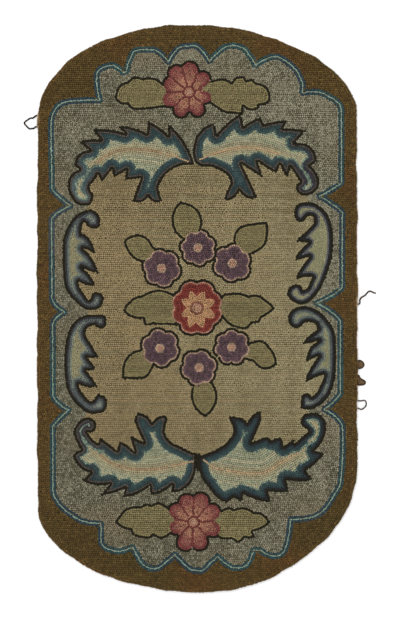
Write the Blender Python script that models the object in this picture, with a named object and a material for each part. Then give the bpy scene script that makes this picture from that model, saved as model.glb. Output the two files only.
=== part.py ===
# Hooked rug: one flat panel of looped wool on a turned-under foundation cloth, lying on the floor,
# and the five places where its edge yarn has been pulled out and lies loose beside it.
# Metres, +Z up, +Y along the rug. The origin is the middle of the underside.

import math
from typing import NamedTuple

import bmesh
import bpy
import numpy as np

MM = 0.001

# The panel
LEFT_SIDE_X = -383.5 * MM
RIGHT_SIDE_X = 380.0 * MM
TOP_Y = 680.0 * MM
BOTTOM_Y = -680.0 * MM
PANEL_THICKNESS = 9.0 * MM
PILE_UNEVENNESS = 0.45 * MM
PILE_SWELLS_X = 3.0  # half waves of unevenness across the rug
PILE_SWELLS_Y = 7.0
STATIONS = 288  # points round the outline
CORNER_STEPS = 60
SIDE_STEPS = 40

# The pulled edge yarn
YARN_STEP = 3.5 * MM
ROUTE_FINENESS = 12  # samples between two points of a route, before they are spaced evenly
WOOL_ROUGHNESS = 0.95


class Corner(NamedTuple):
    """A quarter of a rounded end: where it leaves the long side and the end, and its fullness (2 is an ellipse)."""

    side_x: float
    side_y: float
    end_x: float
    end_y: float
    fullness: float


# In order round the rug, anticlockwise seen from above, from the lower right.
CORNERS = (
    Corner(RIGHT_SIDE_X, -406.0 * MM, 35.0 * MM, BOTTOM_Y, 1.72),
    Corner(RIGHT_SIDE_X, 482.0 * MM, 6.5 * MM, TOP_Y, 1.74),
    Corner(LEFT_SIDE_X, 453.0 * MM, -17.5 * MM, TOP_Y, 2.06),
    Corner(LEFT_SIDE_X, -473.0 * MM, 6.5 * MM, BOTTOM_Y, 1.97),
)


class Side(NamedTuple):
    """How far a long side bows out at its middle, and leans out at its lower end."""

    bow: float
    lean: float


RIGHT_SIDE = Side(1.5 * MM, 2.5 * MM)
LEFT_SIDE = Side(2.0 * MM, 0.0)


class Ripple(NamedTuple):
    """One wave of the uneven edge: its depth, how many go round the rug, and where it starts, in turns."""

    depth: float
    count: int
    start: float


EDGE_RIPPLES = (
    Ripple(0.9 * MM, 19, 0.10),
    Ripple(0.8 * MM, 43, 0.35),
    Ripple(0.6 * MM, 71, 0.80),
)


class Section(NamedTuple):
    """A ring of the panel: its share of the way to the edge, its inset from there, and its height."""

    share: float
    inset: float
    height: float


SECTIONS = (
    Section(0.0, 0.0, 0.0),
    Section(1.0, 1.6 * MM, 0.0),
    Section(1.0, 0.0, 1.4 * MM),
    Section(1.0, 0.0, 5.6 * MM),
    Section(1.0, 1.7 * MM, 7.9 * MM),
    Section(1.0, 5.5 * MM, PANEL_THICKNESS),
    Section(0.88, 0.0, PANEL_THICKNESS),
    Section(0.66, 0.0, PANEL_THICKNESS),
    Section(0.40, 0.0, PANEL_THICKNESS),
    Section(0.0, 0.0, PANEL_THICKNESS),
)


class Strand(NamedTuple):
    """A length of edge yarn: the side it is on (-1 left, 1 right), its radius, and its route.

    Each point of the route is (distance out from the rug's edge, place along +Y, height), in millimetres.
    """

    side: int
    radius: float
    route: tuple


STRANDS = {
    # A long loop drawn out of the left edge, with the crimp of the stitches still in it.
    "pulled_loop_left": Strand(
        -1,
        1.8 * MM,
        (
            (0.6, 463.4, 3.6),
            (3.2, 463.2, 3.4),
            (6.8, 460.6, 2.4),
            (10.6, 457.4, 2.0),
            (14.6, 457.8, 2.1),
            (19.2, 455.6, 2.3),
            (23.6, 452.6, 2.0),
            (27.6, 449.8, 2.0),
            (30.4, 446.2, 2.1),
            (29.4, 442.2, 2.2),
            (26.2, 438.8, 2.0),
            (23.0, 434.4, 2.0),
            (18.8, 431.6, 2.2),
            (14.0, 432.4, 2.3),
            (9.6, 432.8, 2.0),
            (6.0, 435.4, 2.2),
            (3.2, 436.4, 3.2),
            (0.6, 436.6, 3.5),
        ),
    ),
    # A kinked tail on the right that ends free.
    "pulled_tail_right": Strand(
        1,
        1.7 * MM,
        (
            (1.0, 10.8, 3.6),
            (4.0, 12.0, 3.2),
            (5.6, 15.6, 2.4),
            (5.0, 20.2, 1.9),
            (7.0, 24.8, 2.0),
            (10.6, 28.4, 2.4),
            (15.0, 30.6, 2.2),
            (18.8, 33.6, 1.9),
            (22.0, 37.8, 1.9),
            (26.0, 41.6, 2.1),
            (30.6, 42.2, 2.2),
            (35.2, 40.0, 1.9),
            (39.6, 38.2, 1.9),
            (43.6, 37.4, 1.9),
        ),
    ),
    # A tight curl beside the edge.
    "pulled_curl_right": Strand(
        1,
        1.5 * MM,
        (
            (0.6, -124.4, 3.4),
            (3.2, -124.0, 3.0),
            (7.0, -124.4, 1.9),
            (11.0, -126.6, 1.7),
            (13.8, -130.2, 1.7),
            (14.4, -134.8, 1.8),
            (12.4, -139.0, 1.7),
            (8.6, -141.8, 1.7),
            (4.4, -143.0, 2.2),
            (2.6, -143.4, 3.2),
            (0.6, -143.5, 3.4),
        ),
    ),
    # A fold of yarn that stands out in a blunt point.
    "pulled_fold_right": Strand(
        1,
        1.6 * MM,
        (
            (1.0, -158.8, 3.4),
            (3.2, -160.0, 3.0),
            (5.0, -163.6, 2.2),
            (8.4, -167.6, 1.8),
            (13.0, -170.2, 1.8),
            (17.4, -172.6, 1.8),
            (19.6, -176.0, 1.8),
            (18.6, -180.0, 1.8),
            (14.6, -182.0, 1.9),
            (9.8, -182.6, 1.8),
            (5.4, -182.8, 2.2),
            (2.6, -182.8, 3.2),
            (0.6, -182.8, 3.4),
        ),
    ),
    # A small open loop lower on the right.
    "pulled_loop_right": Strand(
        1,
        1.5 * MM,
        (
            (0.6, -220.4, 3.4),
            (3.2, -220.4, 3.1),
            (7.4, -220.8, 1.9),
            (12.2, -220.2, 1.7),
            (16.8, -219.6, 1.8),
            (20.6, -222.0, 2.0),
            (21.8, -226.6, 1.7),
            (22.0, -231.4, 1.7),
            (19.6, -235.4, 1.9),
            (15.8, -238.6, 1.7),
            (11.8, -241.2, 1.8),
            (7.4, -240.4, 1.7),
            (3.6, -238.6, 2.8),
            (0.8, -238.2, 3.4),
        ),
    ),
}


def clear_scene():
    for thing in list(bpy.data.objects):
        bpy.data.objects.remove(thing)


def wool(name, colour):
    """A matte wool colour."""
    material = bpy.data.materials.new(name)
    material.use_nodes = True
    shader = material.node_tree.nodes["Principled BSDF"]
    shader.inputs["Base Color"].default_value = (*colour, 1.0)
    shader.inputs["Roughness"].default_value = WOOL_ROUGHNESS
    shader.inputs["Metallic"].default_value = 0.0
    return material


def spaced_evenly(points, count, closed):
    """The line again, as count points the same distance apart along it."""
    line = np.vstack([points, points[:1]]) if closed else points
    along = np.concatenate([[0.0], np.cumsum(np.linalg.norm(np.diff(line, axis=0), axis=1))])
    at = np.linspace(0.0, along[-1], count, endpoint=not closed)
    return np.stack([np.interp(at, along, line[:, k]) for k in range(line.shape[1])], axis=1)


def corner_points(corner):
    """A quarter superellipse, from the long side to the end."""
    turn = np.linspace(0.0, math.pi / 2, CORNER_STEPS)
    reach_x = (corner.side_x - corner.end_x) * np.cos(turn).clip(0.0) ** (2.0 / corner.fullness)
    reach_y = (corner.end_y - corner.side_y) * np.sin(turn).clip(0.0) ** (2.0 / corner.fullness)
    return np.stack([corner.end_x + reach_x, corner.side_y + reach_y], axis=1)


def side_points(start, end, side):
    """A long side from one corner to the next, bowed and leaning by its small amounts."""
    share = np.linspace(0.0, 1.0, SIDE_STEPS)[1:-1]
    outwards = math.copysign(1.0, start.side_x)
    y = start.side_y + (end.side_y - start.side_y) * share
    downwards = (TOP_Y - y) / (TOP_Y - BOTTOM_Y)
    x = start.side_x + outwards * (side.bow * np.sin(math.pi * share) + side.lean * downwards)
    return np.stack([x, y], axis=1)


def outline():
    """The rug's edge: two long sides, two rounded ends, and its ripples, centred on the origin."""
    lower_right, upper_right, upper_left, lower_left = CORNERS
    ring = np.vstack(
        [
            side_points(lower_right, upper_right, RIGHT_SIDE),
            corner_points(upper_right),
            corner_points(upper_left)[::-1],
            side_points(upper_left, lower_left, LEFT_SIDE),
            corner_points(lower_left),
            corner_points(lower_right)[::-1],
        ]
    )
    ring = spaced_evenly(ring, STATIONS, closed=True)
    turns = np.arange(STATIONS) / STATIONS
    ripple = sum(r.depth * np.sin(2 * math.pi * (r.count * turns + r.start)) for r in EDGE_RIPPLES)
    ring = ring + outward(ring) * ripple[:, None]
    return ring - (ring.min(axis=0) + ring.max(axis=0)) / 2


def outward(ring):
    """The outward direction at each point of an anticlockwise ring."""
    ahead = np.roll(ring, -1, axis=0) - np.roll(ring, 1, axis=0)
    ahead /= np.linalg.norm(ahead, axis=1)[:, None]
    return np.stack([ahead[:, 1], -ahead[:, 0]], axis=1)


def swell(x, y):
    """The pile's slow rise and fall, from -1 to 1."""
    across = np.sin(math.pi * PILE_SWELLS_X * x / (RIGHT_SIDE_X - LEFT_SIDE_X) + 0.6)
    return across * np.sin(math.pi * PILE_SWELLS_Y * y / (TOP_Y - BOTTOM_Y) + 0.3)


def panel(ring, material, collection):
    """The rug: a grid wrapped round the outline, one row of it for each section."""
    normals = outward(ring)
    bm = bmesh.new()
    bmesh.ops.create_grid(bm, x_segments=STATIONS, y_segments=len(SECTIONS) - 1, size=1.0)
    for vert in bm.verts:
        station = round((vert.co.x + 1.0) / 2.0 * STATIONS) % STATIONS
        section = SECTIONS[round((vert.co.y + 1.0) / 2.0 * (len(SECTIONS) - 1))]
        x, y = ring[station] * section.share - normals[station] * section.inset * section.share
        lift = PILE_UNEVENNESS * swell(x, y) if section.height == PANEL_THICKNESS else 0.0
        vert.co = (x, y, section.height + lift)
    bmesh.ops.remove_doubles(bm, verts=bm.verts, dist=0.01 * MM)
    bmesh.ops.dissolve_degenerate(bm, edges=bm.edges, dist=0.001 * MM)
    bmesh.ops.recalc_face_normals(bm, faces=bm.faces)
    mesh = bpy.data.meshes.new("hooked_panel")
    bm.to_mesh(mesh)
    bm.free()
    mesh.shade_smooth()
    mesh.materials.append(material)
    made = bpy.data.objects.new("hooked_panel", mesh)
    collection.objects.link(made)
    return made


def edge_at(ring, side, y):
    """How far out the rug's edge is at a place along it."""
    half = ring[ring[:, 0] * side > 0]
    half = half[np.argsort(half[:, 1])]
    return np.interp(y, half[:, 1], np.abs(half[:, 0]))


def smooth_route(points):
    """A smooth curve through the points of a route (Catmull-Rom), spaced evenly."""
    ends = np.vstack([2 * points[0] - points[1], points, 2 * points[-1] - points[-2]])
    before, start, end, after = ends[:-3], ends[1:-2], ends[2:-1], ends[3:]
    share = np.linspace(0.0, 1.0, ROUTE_FINENESS, endpoint=False)[:, None, None]
    curve = 0.5 * (
        2 * start
        + (end - before) * share
        + (2 * before - 5 * start + 4 * end - after) * share**2
        + (3 * start - before - 3 * end + after) * share**3
    )
    curve = np.vstack([curve.transpose(1, 0, 2).reshape(-1, 3), points[-1:]])
    length = np.linalg.norm(np.diff(curve, axis=0), axis=1).sum()
    return spaced_evenly(curve, round(length / YARN_STEP) + 1, closed=False)


def pulled_yarn(name, strand, ring, material, collection):
    """One loose strand: a round tube along its route, which starts at the rug's edge."""
    out, along, height = (np.array(strand.route) * MM).T
    points = np.stack([strand.side * (edge_at(ring, strand.side, along) + out), along, height], axis=1)
    route = smooth_route(points)
    curve = bpy.data.curves.new(name, "CURVE")
    curve.dimensions = "3D"
    curve.bevel_depth = strand.radius
    curve.bevel_resolution = 2
    curve.use_fill_caps = True
    spline = curve.splines.new("POLY")
    spline.points.add(len(route) - 1)
    spline.points.foreach_set("co", np.column_stack([route, np.ones(len(route))]).ravel())
    curve.materials.append(material)
    made = bpy.data.objects.new(name, curve)
    collection.objects.link(made)
    return made


clear_scene()
rug = bpy.data.collections.new("hooked_rug")
bpy.context.scene.collection.children.link(rug)
brown_wool = wool("brown_wool", (0.075, 0.047, 0.018))
dark_yarn = wool("dark_yarn", (0.045, 0.030, 0.014))
edge = outline()
panel(edge, brown_wool, rug)
for strand_name, strand_form in STRANDS.items():
    pulled_yarn(strand_name, strand_form, edge, dark_yarn, rug)
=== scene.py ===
# Hooked rug: wool yarn drawn up in loops through a foundation cloth, lying flat on a pale floor.
# Metres, +Z up, +Y along the rug, the origin in the middle of its underside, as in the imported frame.

import math

import bpy
import numpy as np
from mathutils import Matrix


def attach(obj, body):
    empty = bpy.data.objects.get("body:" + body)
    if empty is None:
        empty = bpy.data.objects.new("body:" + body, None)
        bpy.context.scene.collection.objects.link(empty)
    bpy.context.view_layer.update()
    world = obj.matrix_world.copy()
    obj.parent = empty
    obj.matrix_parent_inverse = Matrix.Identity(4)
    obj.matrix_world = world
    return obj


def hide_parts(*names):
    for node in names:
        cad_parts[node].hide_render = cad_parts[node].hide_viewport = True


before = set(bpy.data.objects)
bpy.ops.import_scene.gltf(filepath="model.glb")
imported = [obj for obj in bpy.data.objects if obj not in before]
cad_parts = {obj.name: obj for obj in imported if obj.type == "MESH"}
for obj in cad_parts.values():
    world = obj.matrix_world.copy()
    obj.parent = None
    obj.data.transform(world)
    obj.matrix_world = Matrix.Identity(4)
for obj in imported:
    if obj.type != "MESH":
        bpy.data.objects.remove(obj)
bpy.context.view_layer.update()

MM = 0.001


# --- Camera ---
# It hangs straight above the rug and looks down, with the rug's long side up the picture.
# The lens is long, so the whole rug shows with hardly any perspective.


def in_scene(name, data):
    """A new object with this data, at the origin and linked to the scene."""
    made = bpy.data.objects.new(name, data)
    bpy.context.scene.collection.objects.link(made)
    return made


camera = in_scene("camera", bpy.data.cameras.new("camera"))
camera.data.lens = 85.0
camera.data.sensor_width = 36.0
camera.location = (6.7 * MM, 0.7 * MM, 3.496)
bpy.context.scene.camera = camera


# --- Pulled edge yarn ---
# Five lengths of the edge's two-ply wool yarn that wear has drawn out, one on the left and four on the right.
# Four go back into the edge as loops and curls, and one ends free. They keep the crimp of their stitches.

EDGE_HEIGHT = 5.6 * MM  # where the panel's solid is widest
YARN_POINT_STEP = 1.2 * MM
YARN_RING_POINTS = 14
PLY_DEPTH = 0.11
PLY_TURN = 6.5 * MM  # length in which the two plies go once round each other
YARN_BROWN = (46, 34, 22)
YARN_RUST = (66, 40, 24)
YARN_DARK = (30, 22, 15)


def light_of(tone):
    """The linear light of a tone from 0 to 255: its share to the power 2.2, near the screen's own curve."""
    return (np.array(tone, float) / 255.0) ** 2.2


def rug_edge():
    """The rug's outline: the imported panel's points at the height where it is widest, by their direction."""
    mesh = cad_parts["hooked_panel"].data
    points = np.empty(len(mesh.vertices) * 3)
    mesh.vertices.foreach_get("co", points)
    points = points.reshape(-1, 3)
    points = points[np.abs(points[:, 2] - EDGE_HEIGHT) < 0.2 * MM, :2]
    points = np.unique(points.round(6), axis=0)
    return points[np.argsort(np.arctan2(points[:, 1], points[:, 0]))]


edge = rug_edge()


def edge_at(side, along):
    """How far out the edge is at a place along the rug: its outline between the two points nearest in y."""
    half = edge[edge[:, 0] * side > 0]
    half = half[np.argsort(half[:, 1])]
    return np.interp(along, half[:, 1], np.abs(half[:, 0]))


def spaced(points, step, closed):
    """The same line again with its points a step apart, measured along it."""
    line = np.vstack([points, points[:1]]) if closed else points
    run = np.concatenate([[0.0], np.cumsum(np.linalg.norm(np.diff(line, axis=0), axis=1))])
    count = max(2, round(run[-1] / step) + (0 if closed else 1))
    at = np.linspace(0.0, run[-1], count, endpoint=not closed)
    return np.stack([np.interp(at, run, line[:, k]) for k in range(line.shape[1])], axis=1)


def smooth_route(points, step):
    """The smooth curve through a route's points: each stretch is a cubic from its ends and neighbours."""
    ends = np.vstack([2 * points[0] - points[1], points, 2 * points[-1] - points[-2]])
    before, start, end, after = ends[:-3], ends[1:-2], ends[2:-1], ends[3:]
    share = np.linspace(0.0, 1.0, 12, endpoint=False)[:, None, None]
    curve = 0.5 * (
        2 * start
        + (end - before) * share
        + (2 * before - 5 * start + 4 * end - after) * share**2
        + (3 * start - before - 3 * end + after) * share**3
    )
    curve = curve.transpose(1, 0, 2).reshape(-1, points.shape[1])
    return spaced(np.vstack([curve, points[-1:]]), step, False)


def ring_faces(rings, count):
    """Faces of a closed form whose points are rings of as many points each, then a start and an end pole.

    A band of four-cornered faces runs between two rings, and a fan round its pole closes each end.
    """
    ring, place = np.meshgrid(np.arange(rings - 1), np.arange(count), indexing="ij")
    after = (place + 1) % count
    low, high = ring * count, (ring + 1) * count
    sides = np.stack([low + place, low + after, high + after, high + place], axis=-1).reshape(-1, 4)
    place = np.arange(count)
    after = (place + 1) % count
    pole = np.full(count, rings * count)
    last = (rings - 1) * count
    start = np.stack([pole, after, place], axis=1)
    end = np.stack([pole + 1, last + place, last + after], axis=1)
    return sides.tolist() + start.tolist() + end.tolist()


def two_ply(path, radius):
    """Points and faces of a two-ply yarn along a path, closed at both ends.

    Round each path point runs a ring of radius R (1 + depth cos 2(turn - 2 pi s / length of one twist)),
    with s the length along the path. The last rings draw in to a point.
    """
    run = np.concatenate([[0.0], np.cumsum(np.linalg.norm(np.diff(path, axis=0), axis=1))])
    ahead = np.gradient(path, axis=0)
    ahead /= np.linalg.norm(ahead, axis=1)[:, None]
    across = np.cross(ahead, (0.0, 0.0, 1.0))
    across /= np.linalg.norm(across, axis=1)[:, None]
    above = np.cross(across, ahead)
    turn = np.linspace(0.0, 2 * math.pi, YARN_RING_POINTS, endpoint=False)
    reach = radius * (1.0 + PLY_DEPTH * np.cos(2.0 * (turn[None, :] - 2 * math.pi * run[:, None] / PLY_TURN)))
    reach[[0, -1]] *= 0.55
    rings = path[:, None] + reach[..., None] * (
        across[:, None] * np.cos(turn)[None, :, None] + above[:, None] * np.sin(turn)[None, :, None]
    )
    poles = (path[:1] - ahead[:1] * radius * 0.3, path[-1:] + ahead[-1:] * radius * 0.3)
    points = np.vstack([rings.reshape(-1, 3), *poles])
    return points, ring_faces(len(path), YARN_RING_POINTS)


def give_dye(mesh, dye):
    """Each point's dye, in linear red, green and blue, as the attribute that the wool's shader reads."""
    layer = mesh.attributes.new("dye", "FLOAT_COLOR", "POINT")
    layer.data.foreach_set("color", np.column_stack([dye, np.ones(len(dye))]).ravel())


def node(tree, kind, inputs, **settings):
    """A new shader node with its settings. Each input is set to a value or fed by another node's output."""
    made = tree.nodes.new(kind)
    for setting, value in settings.items():
        setattr(made, setting, value)
    for socket, value in inputs.items():
        if isinstance(value, bpy.types.NodeSocket):
            tree.links.new(value, made.inputs[socket])
        else:
            made.inputs[socket].default_value = value
    return made


def wool_fibres():
    """A shader group for all the wool: fine fibres that mottle the dye and stand up a little."""
    group = bpy.data.node_groups.new("wool fibres", "ShaderNodeTree")
    group.interface.new_socket("Dye", in_out="INPUT", socket_type="NodeSocketColor")
    fineness = group.interface.new_socket("Fineness", in_out="INPUT", socket_type="NodeSocketFloat")
    fineness.default_value = 900.0
    mottle = group.interface.new_socket("Mottle", in_out="INPUT", socket_type="NodeSocketFloat")
    mottle.default_value = 0.3
    group.interface.new_socket("Colour", in_out="OUTPUT", socket_type="NodeSocketColor")
    group.interface.new_socket("Height", in_out="OUTPUT", socket_type="NodeSocketFloat")
    given = group.nodes.new("NodeGroupInput")
    made = group.nodes.new("NodeGroupOutput")
    place = node(group, "ShaderNodeTexCoord", {})
    fine = {"Detail": 3.0, "Roughness": 0.6, "Scale": given.outputs["Fineness"]}
    noise = node(group, "ShaderNodeTexNoise", {"Vector": place.outputs["Object"], **fine})
    swing = node(group, "ShaderNodeMath", {0: noise.outputs["Fac"], 1: 0.5}, operation="SUBTRACT")
    parts = {0: swing.outputs[0], 1: given.outputs["Mottle"], 2: 1.0}
    share = node(group, "ShaderNodeMath", parts, operation="MULTIPLY_ADD")
    parts = {0: given.outputs["Dye"], "Scale": share.outputs[0]}
    tone = node(group, "ShaderNodeVectorMath", parts, operation="SCALE")
    group.links.new(tone.outputs[0], made.inputs["Colour"])
    group.links.new(noise.outputs["Fac"], made.inputs["Height"])
    return group


fibres = wool_fibres()


def bumped(tree, height, strength, distance):
    """Raises the material's surface by a height: a Bump node that feeds its shader's normal."""
    values = {"Strength": strength, "Distance": distance, "Height": height}
    bump = node(tree, "ShaderNodeBump", values)
    tree.links.new(bump.outputs["Normal"], tree.nodes["Principled BSDF"].inputs["Normal"])


def wool(name, mottle, fibre_height, fineness=900.0):
    """A dyed wool: the piece's own dye, mottled by the fibres, dull, with a faint sheen from their ends."""
    material = bpy.data.materials.new(name)
    material.use_nodes = True
    tree = material.node_tree
    shader = tree.nodes["Principled BSDF"]
    shader.inputs["Roughness"].default_value = 0.93
    shader.inputs["Specular IOR Level"].default_value = 0.08
    shader.inputs["Sheen Weight"].default_value = 0.03
    shader.inputs["Sheen Roughness"].default_value = 0.6
    dye = node(tree, "ShaderNodeAttribute", {}, attribute_name="dye")
    values = {"Dye": dye.outputs["Color"], "Fineness": fineness, "Mottle": mottle}
    hairs = node(tree, "ShaderNodeGroup", values, node_tree=fibres)
    tree.links.new(hairs.outputs["Colour"], shader.inputs["Base Color"])
    bumped(tree, hairs.outputs["Height"], 0.6, fibre_height)
    return material


def pulled_yarn(node, side, radius, tones, seed, route):
    """One loose length of yarn, which starts in the rug's edge: made, dyed along its length and hung under
    the root body, with the imported part hidden.
    """
    name = node.replace("pulled", "loose")
    out, along, height = np.array(route).T * MM
    route = np.stack([side * (edge_at(side, along) + out), along, height], axis=1)
    path = smooth_route(route, YARN_POINT_STEP)
    points, faces = two_ply(path, radius)
    mesh = bpy.data.meshes.new(name)
    mesh.from_pydata(points.tolist(), [], faces)
    mesh.shade_smooth()
    ring = np.minimum(np.arange(len(points)) // YARN_RING_POINTS, len(path) - 1)
    ring[-2:] = (0, len(path) - 1)
    waves = np.random.default_rng(seed).uniform(0, 2 * math.pi, 3)
    share = 0.5 + 0.5 * np.sin(ring * 0.35 + waves[0]) * np.sin(ring * 0.11 + waves[1])
    dye = light_of(tones[0]) * (1 - share[:, None]) + light_of(tones[1]) * share[:, None]
    give_dye(mesh, dye)
    mesh.materials.append(edge_yarn)
    made = in_scene(name, mesh)
    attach(made, "root")
    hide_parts(node)


edge_yarn = wool("edge yarn", 0.7, 0.5 * MM)
# Each place on a route is (distance out from the rug's edge, place along +Y, height), in millimetres.
PULLED_LOOP_LEFT = (
    (0.6, 463.4, 3.6), (3.2, 463.2, 3.4), (6.8, 460.6, 2.4), (10.6, 457.4, 2.0), (14.6, 457.8, 2.1),
    (19.2, 455.6, 2.3), (23.6, 452.6, 2.0), (27.6, 449.8, 2.0), (30.4, 446.2, 2.1), (29.4, 442.2, 2.2),
    (26.2, 438.8, 2.0), (23.0, 434.4, 2.0), (18.8, 431.6, 2.2), (14.0, 432.4, 2.3), (9.6, 432.8, 2.0),
    (6.0, 435.4, 2.2), (3.2, 436.4, 3.2), (0.6, 436.6, 3.5),
)
PULLED_TAIL_RIGHT = (
    (1.0, 10.8, 3.6), (4.0, 12.0, 3.2), (5.6, 15.6, 2.4), (5.0, 20.2, 1.9), (7.0, 24.8, 2.0),
    (10.6, 28.4, 2.4), (15.0, 30.6, 2.2), (18.8, 33.6, 1.9), (22.0, 37.8, 1.9), (26.0, 41.6, 2.1),
    (30.6, 42.2, 2.2), (35.2, 40.0, 1.9), (39.6, 38.2, 1.9), (43.6, 37.4, 1.9),
)
PULLED_CURL_RIGHT = (
    (0.6, -124.4, 3.4), (3.2, -124.0, 3.0), (7.0, -124.4, 1.9), (11.0, -126.6, 1.7), (13.8, -130.2, 1.7),
    (14.4, -134.8, 1.8), (12.4, -139.0, 1.7), (8.6, -141.8, 1.7), (4.4, -143.0, 2.2), (2.6, -143.4, 3.2),
    (0.6, -143.5, 3.4),
)
PULLED_FOLD_RIGHT = (
    (1.0, -158.8, 3.4), (3.2, -160.0, 3.0), (5.0, -163.6, 2.2), (8.4, -167.6, 1.8), (13.0, -170.2, 1.8),
    (17.4, -172.6, 1.8), (19.6, -176.0, 1.8), (18.6, -180.0, 1.8), (14.6, -182.0, 1.9), (9.8, -182.6, 1.8),
    (5.4, -182.8, 2.2), (2.6, -182.8, 3.2), (0.6, -182.8, 3.4),
)
PULLED_LOOP_RIGHT = (
    (0.6, -220.4, 3.4), (3.2, -220.4, 3.1), (7.4, -220.8, 1.9), (12.2, -220.2, 1.7), (16.8, -219.6, 1.8),
    (20.6, -222.0, 2.0), (21.8, -226.6, 1.7), (22.0, -231.4, 1.7), (19.6, -235.4, 1.9),
    (15.8, -238.6, 1.7), (11.8, -241.2, 1.8), (7.4, -240.4, 1.7), (3.6, -238.6, 2.8), (0.8, -238.2, 3.4),
)
BROWN_PLY = (YARN_BROWN, YARN_DARK)
RUST_PLY = (YARN_RUST, YARN_DARK)
pulled_yarn("pulled_loop_left", -1, 1.8 * MM, BROWN_PLY, 1, PULLED_LOOP_LEFT)
pulled_yarn("pulled_tail_right", 1, 1.7 * MM, RUST_PLY, 2, PULLED_TAIL_RIGHT)
pulled_yarn("pulled_curl_right", 1, 1.5 * MM, RUST_PLY, 3, PULLED_CURL_RIGHT)
pulled_yarn("pulled_fold_right", 1, 1.6 * MM, RUST_PLY, 4, PULLED_FOLD_RIGHT)
pulled_yarn("pulled_loop_right", 1, 1.5 * MM, RUST_PLY, 5, PULLED_LOOP_RIGHT)


def matted_wool(name, side, route, seed):
    """Wool matted between a loose yarn's strands: its route, closed along the rug, as a low closed dome.

    Each ring is middle + share (route - middle), at its height, and a middle point closes it below and above.
    """
    out, along, _ = np.array(route).T * MM
    out[[0, -1]] = -1.5 * MM  # both ends run in under the loops
    outline = smooth_route(np.stack([side * (edge_at(side, along) + out), along], axis=1), YARN_POINT_STEP)
    ahead = np.roll(outline, -1, axis=0)
    if (outline[:, 0] * ahead[:, 1] - ahead[:, 0] * outline[:, 1]).sum() < 0:
        outline = outline[::-1]
    middle = outline.mean(axis=0)
    share, height = np.array(MATTED_RINGS).T
    flat = middle + share[:, None, None] * (outline - middle)[None]
    rings = np.concatenate([flat, np.broadcast_to(height[:, None, None] * MM, (*flat.shape[:2], 1))], axis=2)
    points = np.vstack([rings.reshape(-1, 3), [*middle, 0.2 * MM], [*middle, 3.3 * MM]])
    mesh = bpy.data.meshes.new(name)
    mesh.from_pydata(points.tolist(), [], ring_faces(len(share), len(outline)))
    mesh.shade_smooth()
    chance = np.random.default_rng(seed)
    shade = chance.uniform(0.0, 1.0, (len(points), 1))
    dye = light_of(YARN_BROWN) * (1 - shade) + light_of(YARN_PALE) * shade
    give_dye(mesh, dye)
    mesh.materials.append(edge_yarn)
    made = in_scene(name, mesh)
    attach(made, "root")


# Each ring of the matted wool is (share of the way out, height in millimetres).
MATTED_RINGS = ((1.0, 0.5), (1.0, 1.6), (0.8, 2.9), (0.4, 3.3))
YARN_PALE = (112, 92, 68)
matted_wool("matted_curl_right", 1, PULLED_CURL_RIGHT, 6)
matted_wool("matted_fold_right", 1, PULLED_FOLD_RIGHT, 7)


# --- Foundation cloth ---
# Plain jute burlap that the wool is hooked through. Its raw edge is turned under all round in one flat hem,
# and the backs of the loops hold it just off the floor inside the hem.

CLOTH_TOP = 1.2 * MM
# Each ring of the cloth is (share of the way out from the middle, inset from the rug's edge, height).
CLOTH_RINGS = (
    (0.35, 0.0, 0.3 * MM),
    (0.7, 0.0, 0.3 * MM),
    (1.0, 29.5 * MM, 0.3 * MM),
    (1.0, 28.0 * MM, 0.0),
    (1.0, 4.2 * MM, 0.0),
    (1.0, 3.0 * MM, 0.5 * MM),
    (1.0, 3.4 * MM, CLOTH_TOP),
    (1.0, 29.5 * MM, CLOTH_TOP),
    (0.7, 0.0, CLOTH_TOP),
    (0.35, 0.0, CLOTH_TOP),
)
JUTE = (150, 124, 86)
JUTE_DARK = (104, 82, 54)
JUTE_THREAD = 2.1 * MM  # from one thread to the next


def foundation_mesh():
    """Each ring is the rug's outline drawn in: share (edge - inset outward). Two middle points close them."""
    ahead = np.roll(edge, -1, axis=0) - np.roll(edge, 1, axis=0)
    ahead /= np.linalg.norm(ahead, axis=1)[:, None]
    outward = np.stack([ahead[:, 1], -ahead[:, 0]], axis=1)
    share, inset, height = np.array(CLOTH_RINGS).T
    flat = share[:, None, None] * (edge[None] - inset[:, None, None] * outward[None])
    points = np.concatenate([flat, np.broadcast_to(height[:, None, None], (*flat.shape[:2], 1))], axis=2)
    points = np.vstack([points.reshape(-1, 3), [[0.0, 0.0, height[0]], [0.0, 0.0, height[-1]]]])
    mesh = bpy.data.meshes.new("foundation")
    mesh.from_pydata(points.tolist(), [], ring_faces(len(CLOTH_RINGS), len(edge)))
    return mesh


def burlap():
    """Jute threads over and under each other: two sets of bands across each other colour it and raise it."""
    material = bpy.data.materials.new("jute burlap")
    material.use_nodes = True
    tree = material.node_tree
    shader = tree.nodes["Principled BSDF"]
    shader.inputs["Roughness"].default_value = 0.9
    shader.inputs["Specular IOR Level"].default_value = 0.2
    place = node(tree, "ShaderNodeTexCoord", {}).outputs["Object"]
    values = {"Scale": 2 * math.pi / (20.0 * JUTE_THREAD), "Distortion": 0.6, "Vector": place}
    warp = node(tree, "ShaderNodeTexWave", values, bands_direction="X")
    weft = node(tree, "ShaderNodeTexWave", values, bands_direction="Y")
    crossed = {0: warp.outputs["Fac"], 1: weft.outputs["Fac"]}
    weave = node(tree, "ShaderNodeMath", crossed, operation="MAXIMUM")
    slubs = node(tree, "ShaderNodeTexNoise", {"Scale": 260.0, "Detail": 4.0, "Vector": place})
    tone = node(tree, "ShaderNodeMath", {0: weave.outputs[0], 1: slubs.outputs["Fac"]}, operation="MULTIPLY")
    ramp = node(tree, "ShaderNodeValToRGB", {"Fac": tone.outputs[0]})
    for stop, position, jute in zip(ramp.color_ramp.elements, (0.1, 0.6), (JUTE_DARK, JUTE)):
        stop.position = position
        stop.color = (*light_of(jute), 1.0)
    tree.links.new(ramp.outputs["Color"], shader.inputs["Base Color"])
    bumped(tree, weave.outputs[0], 0.7, 0.5 * MM)
    return material


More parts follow.
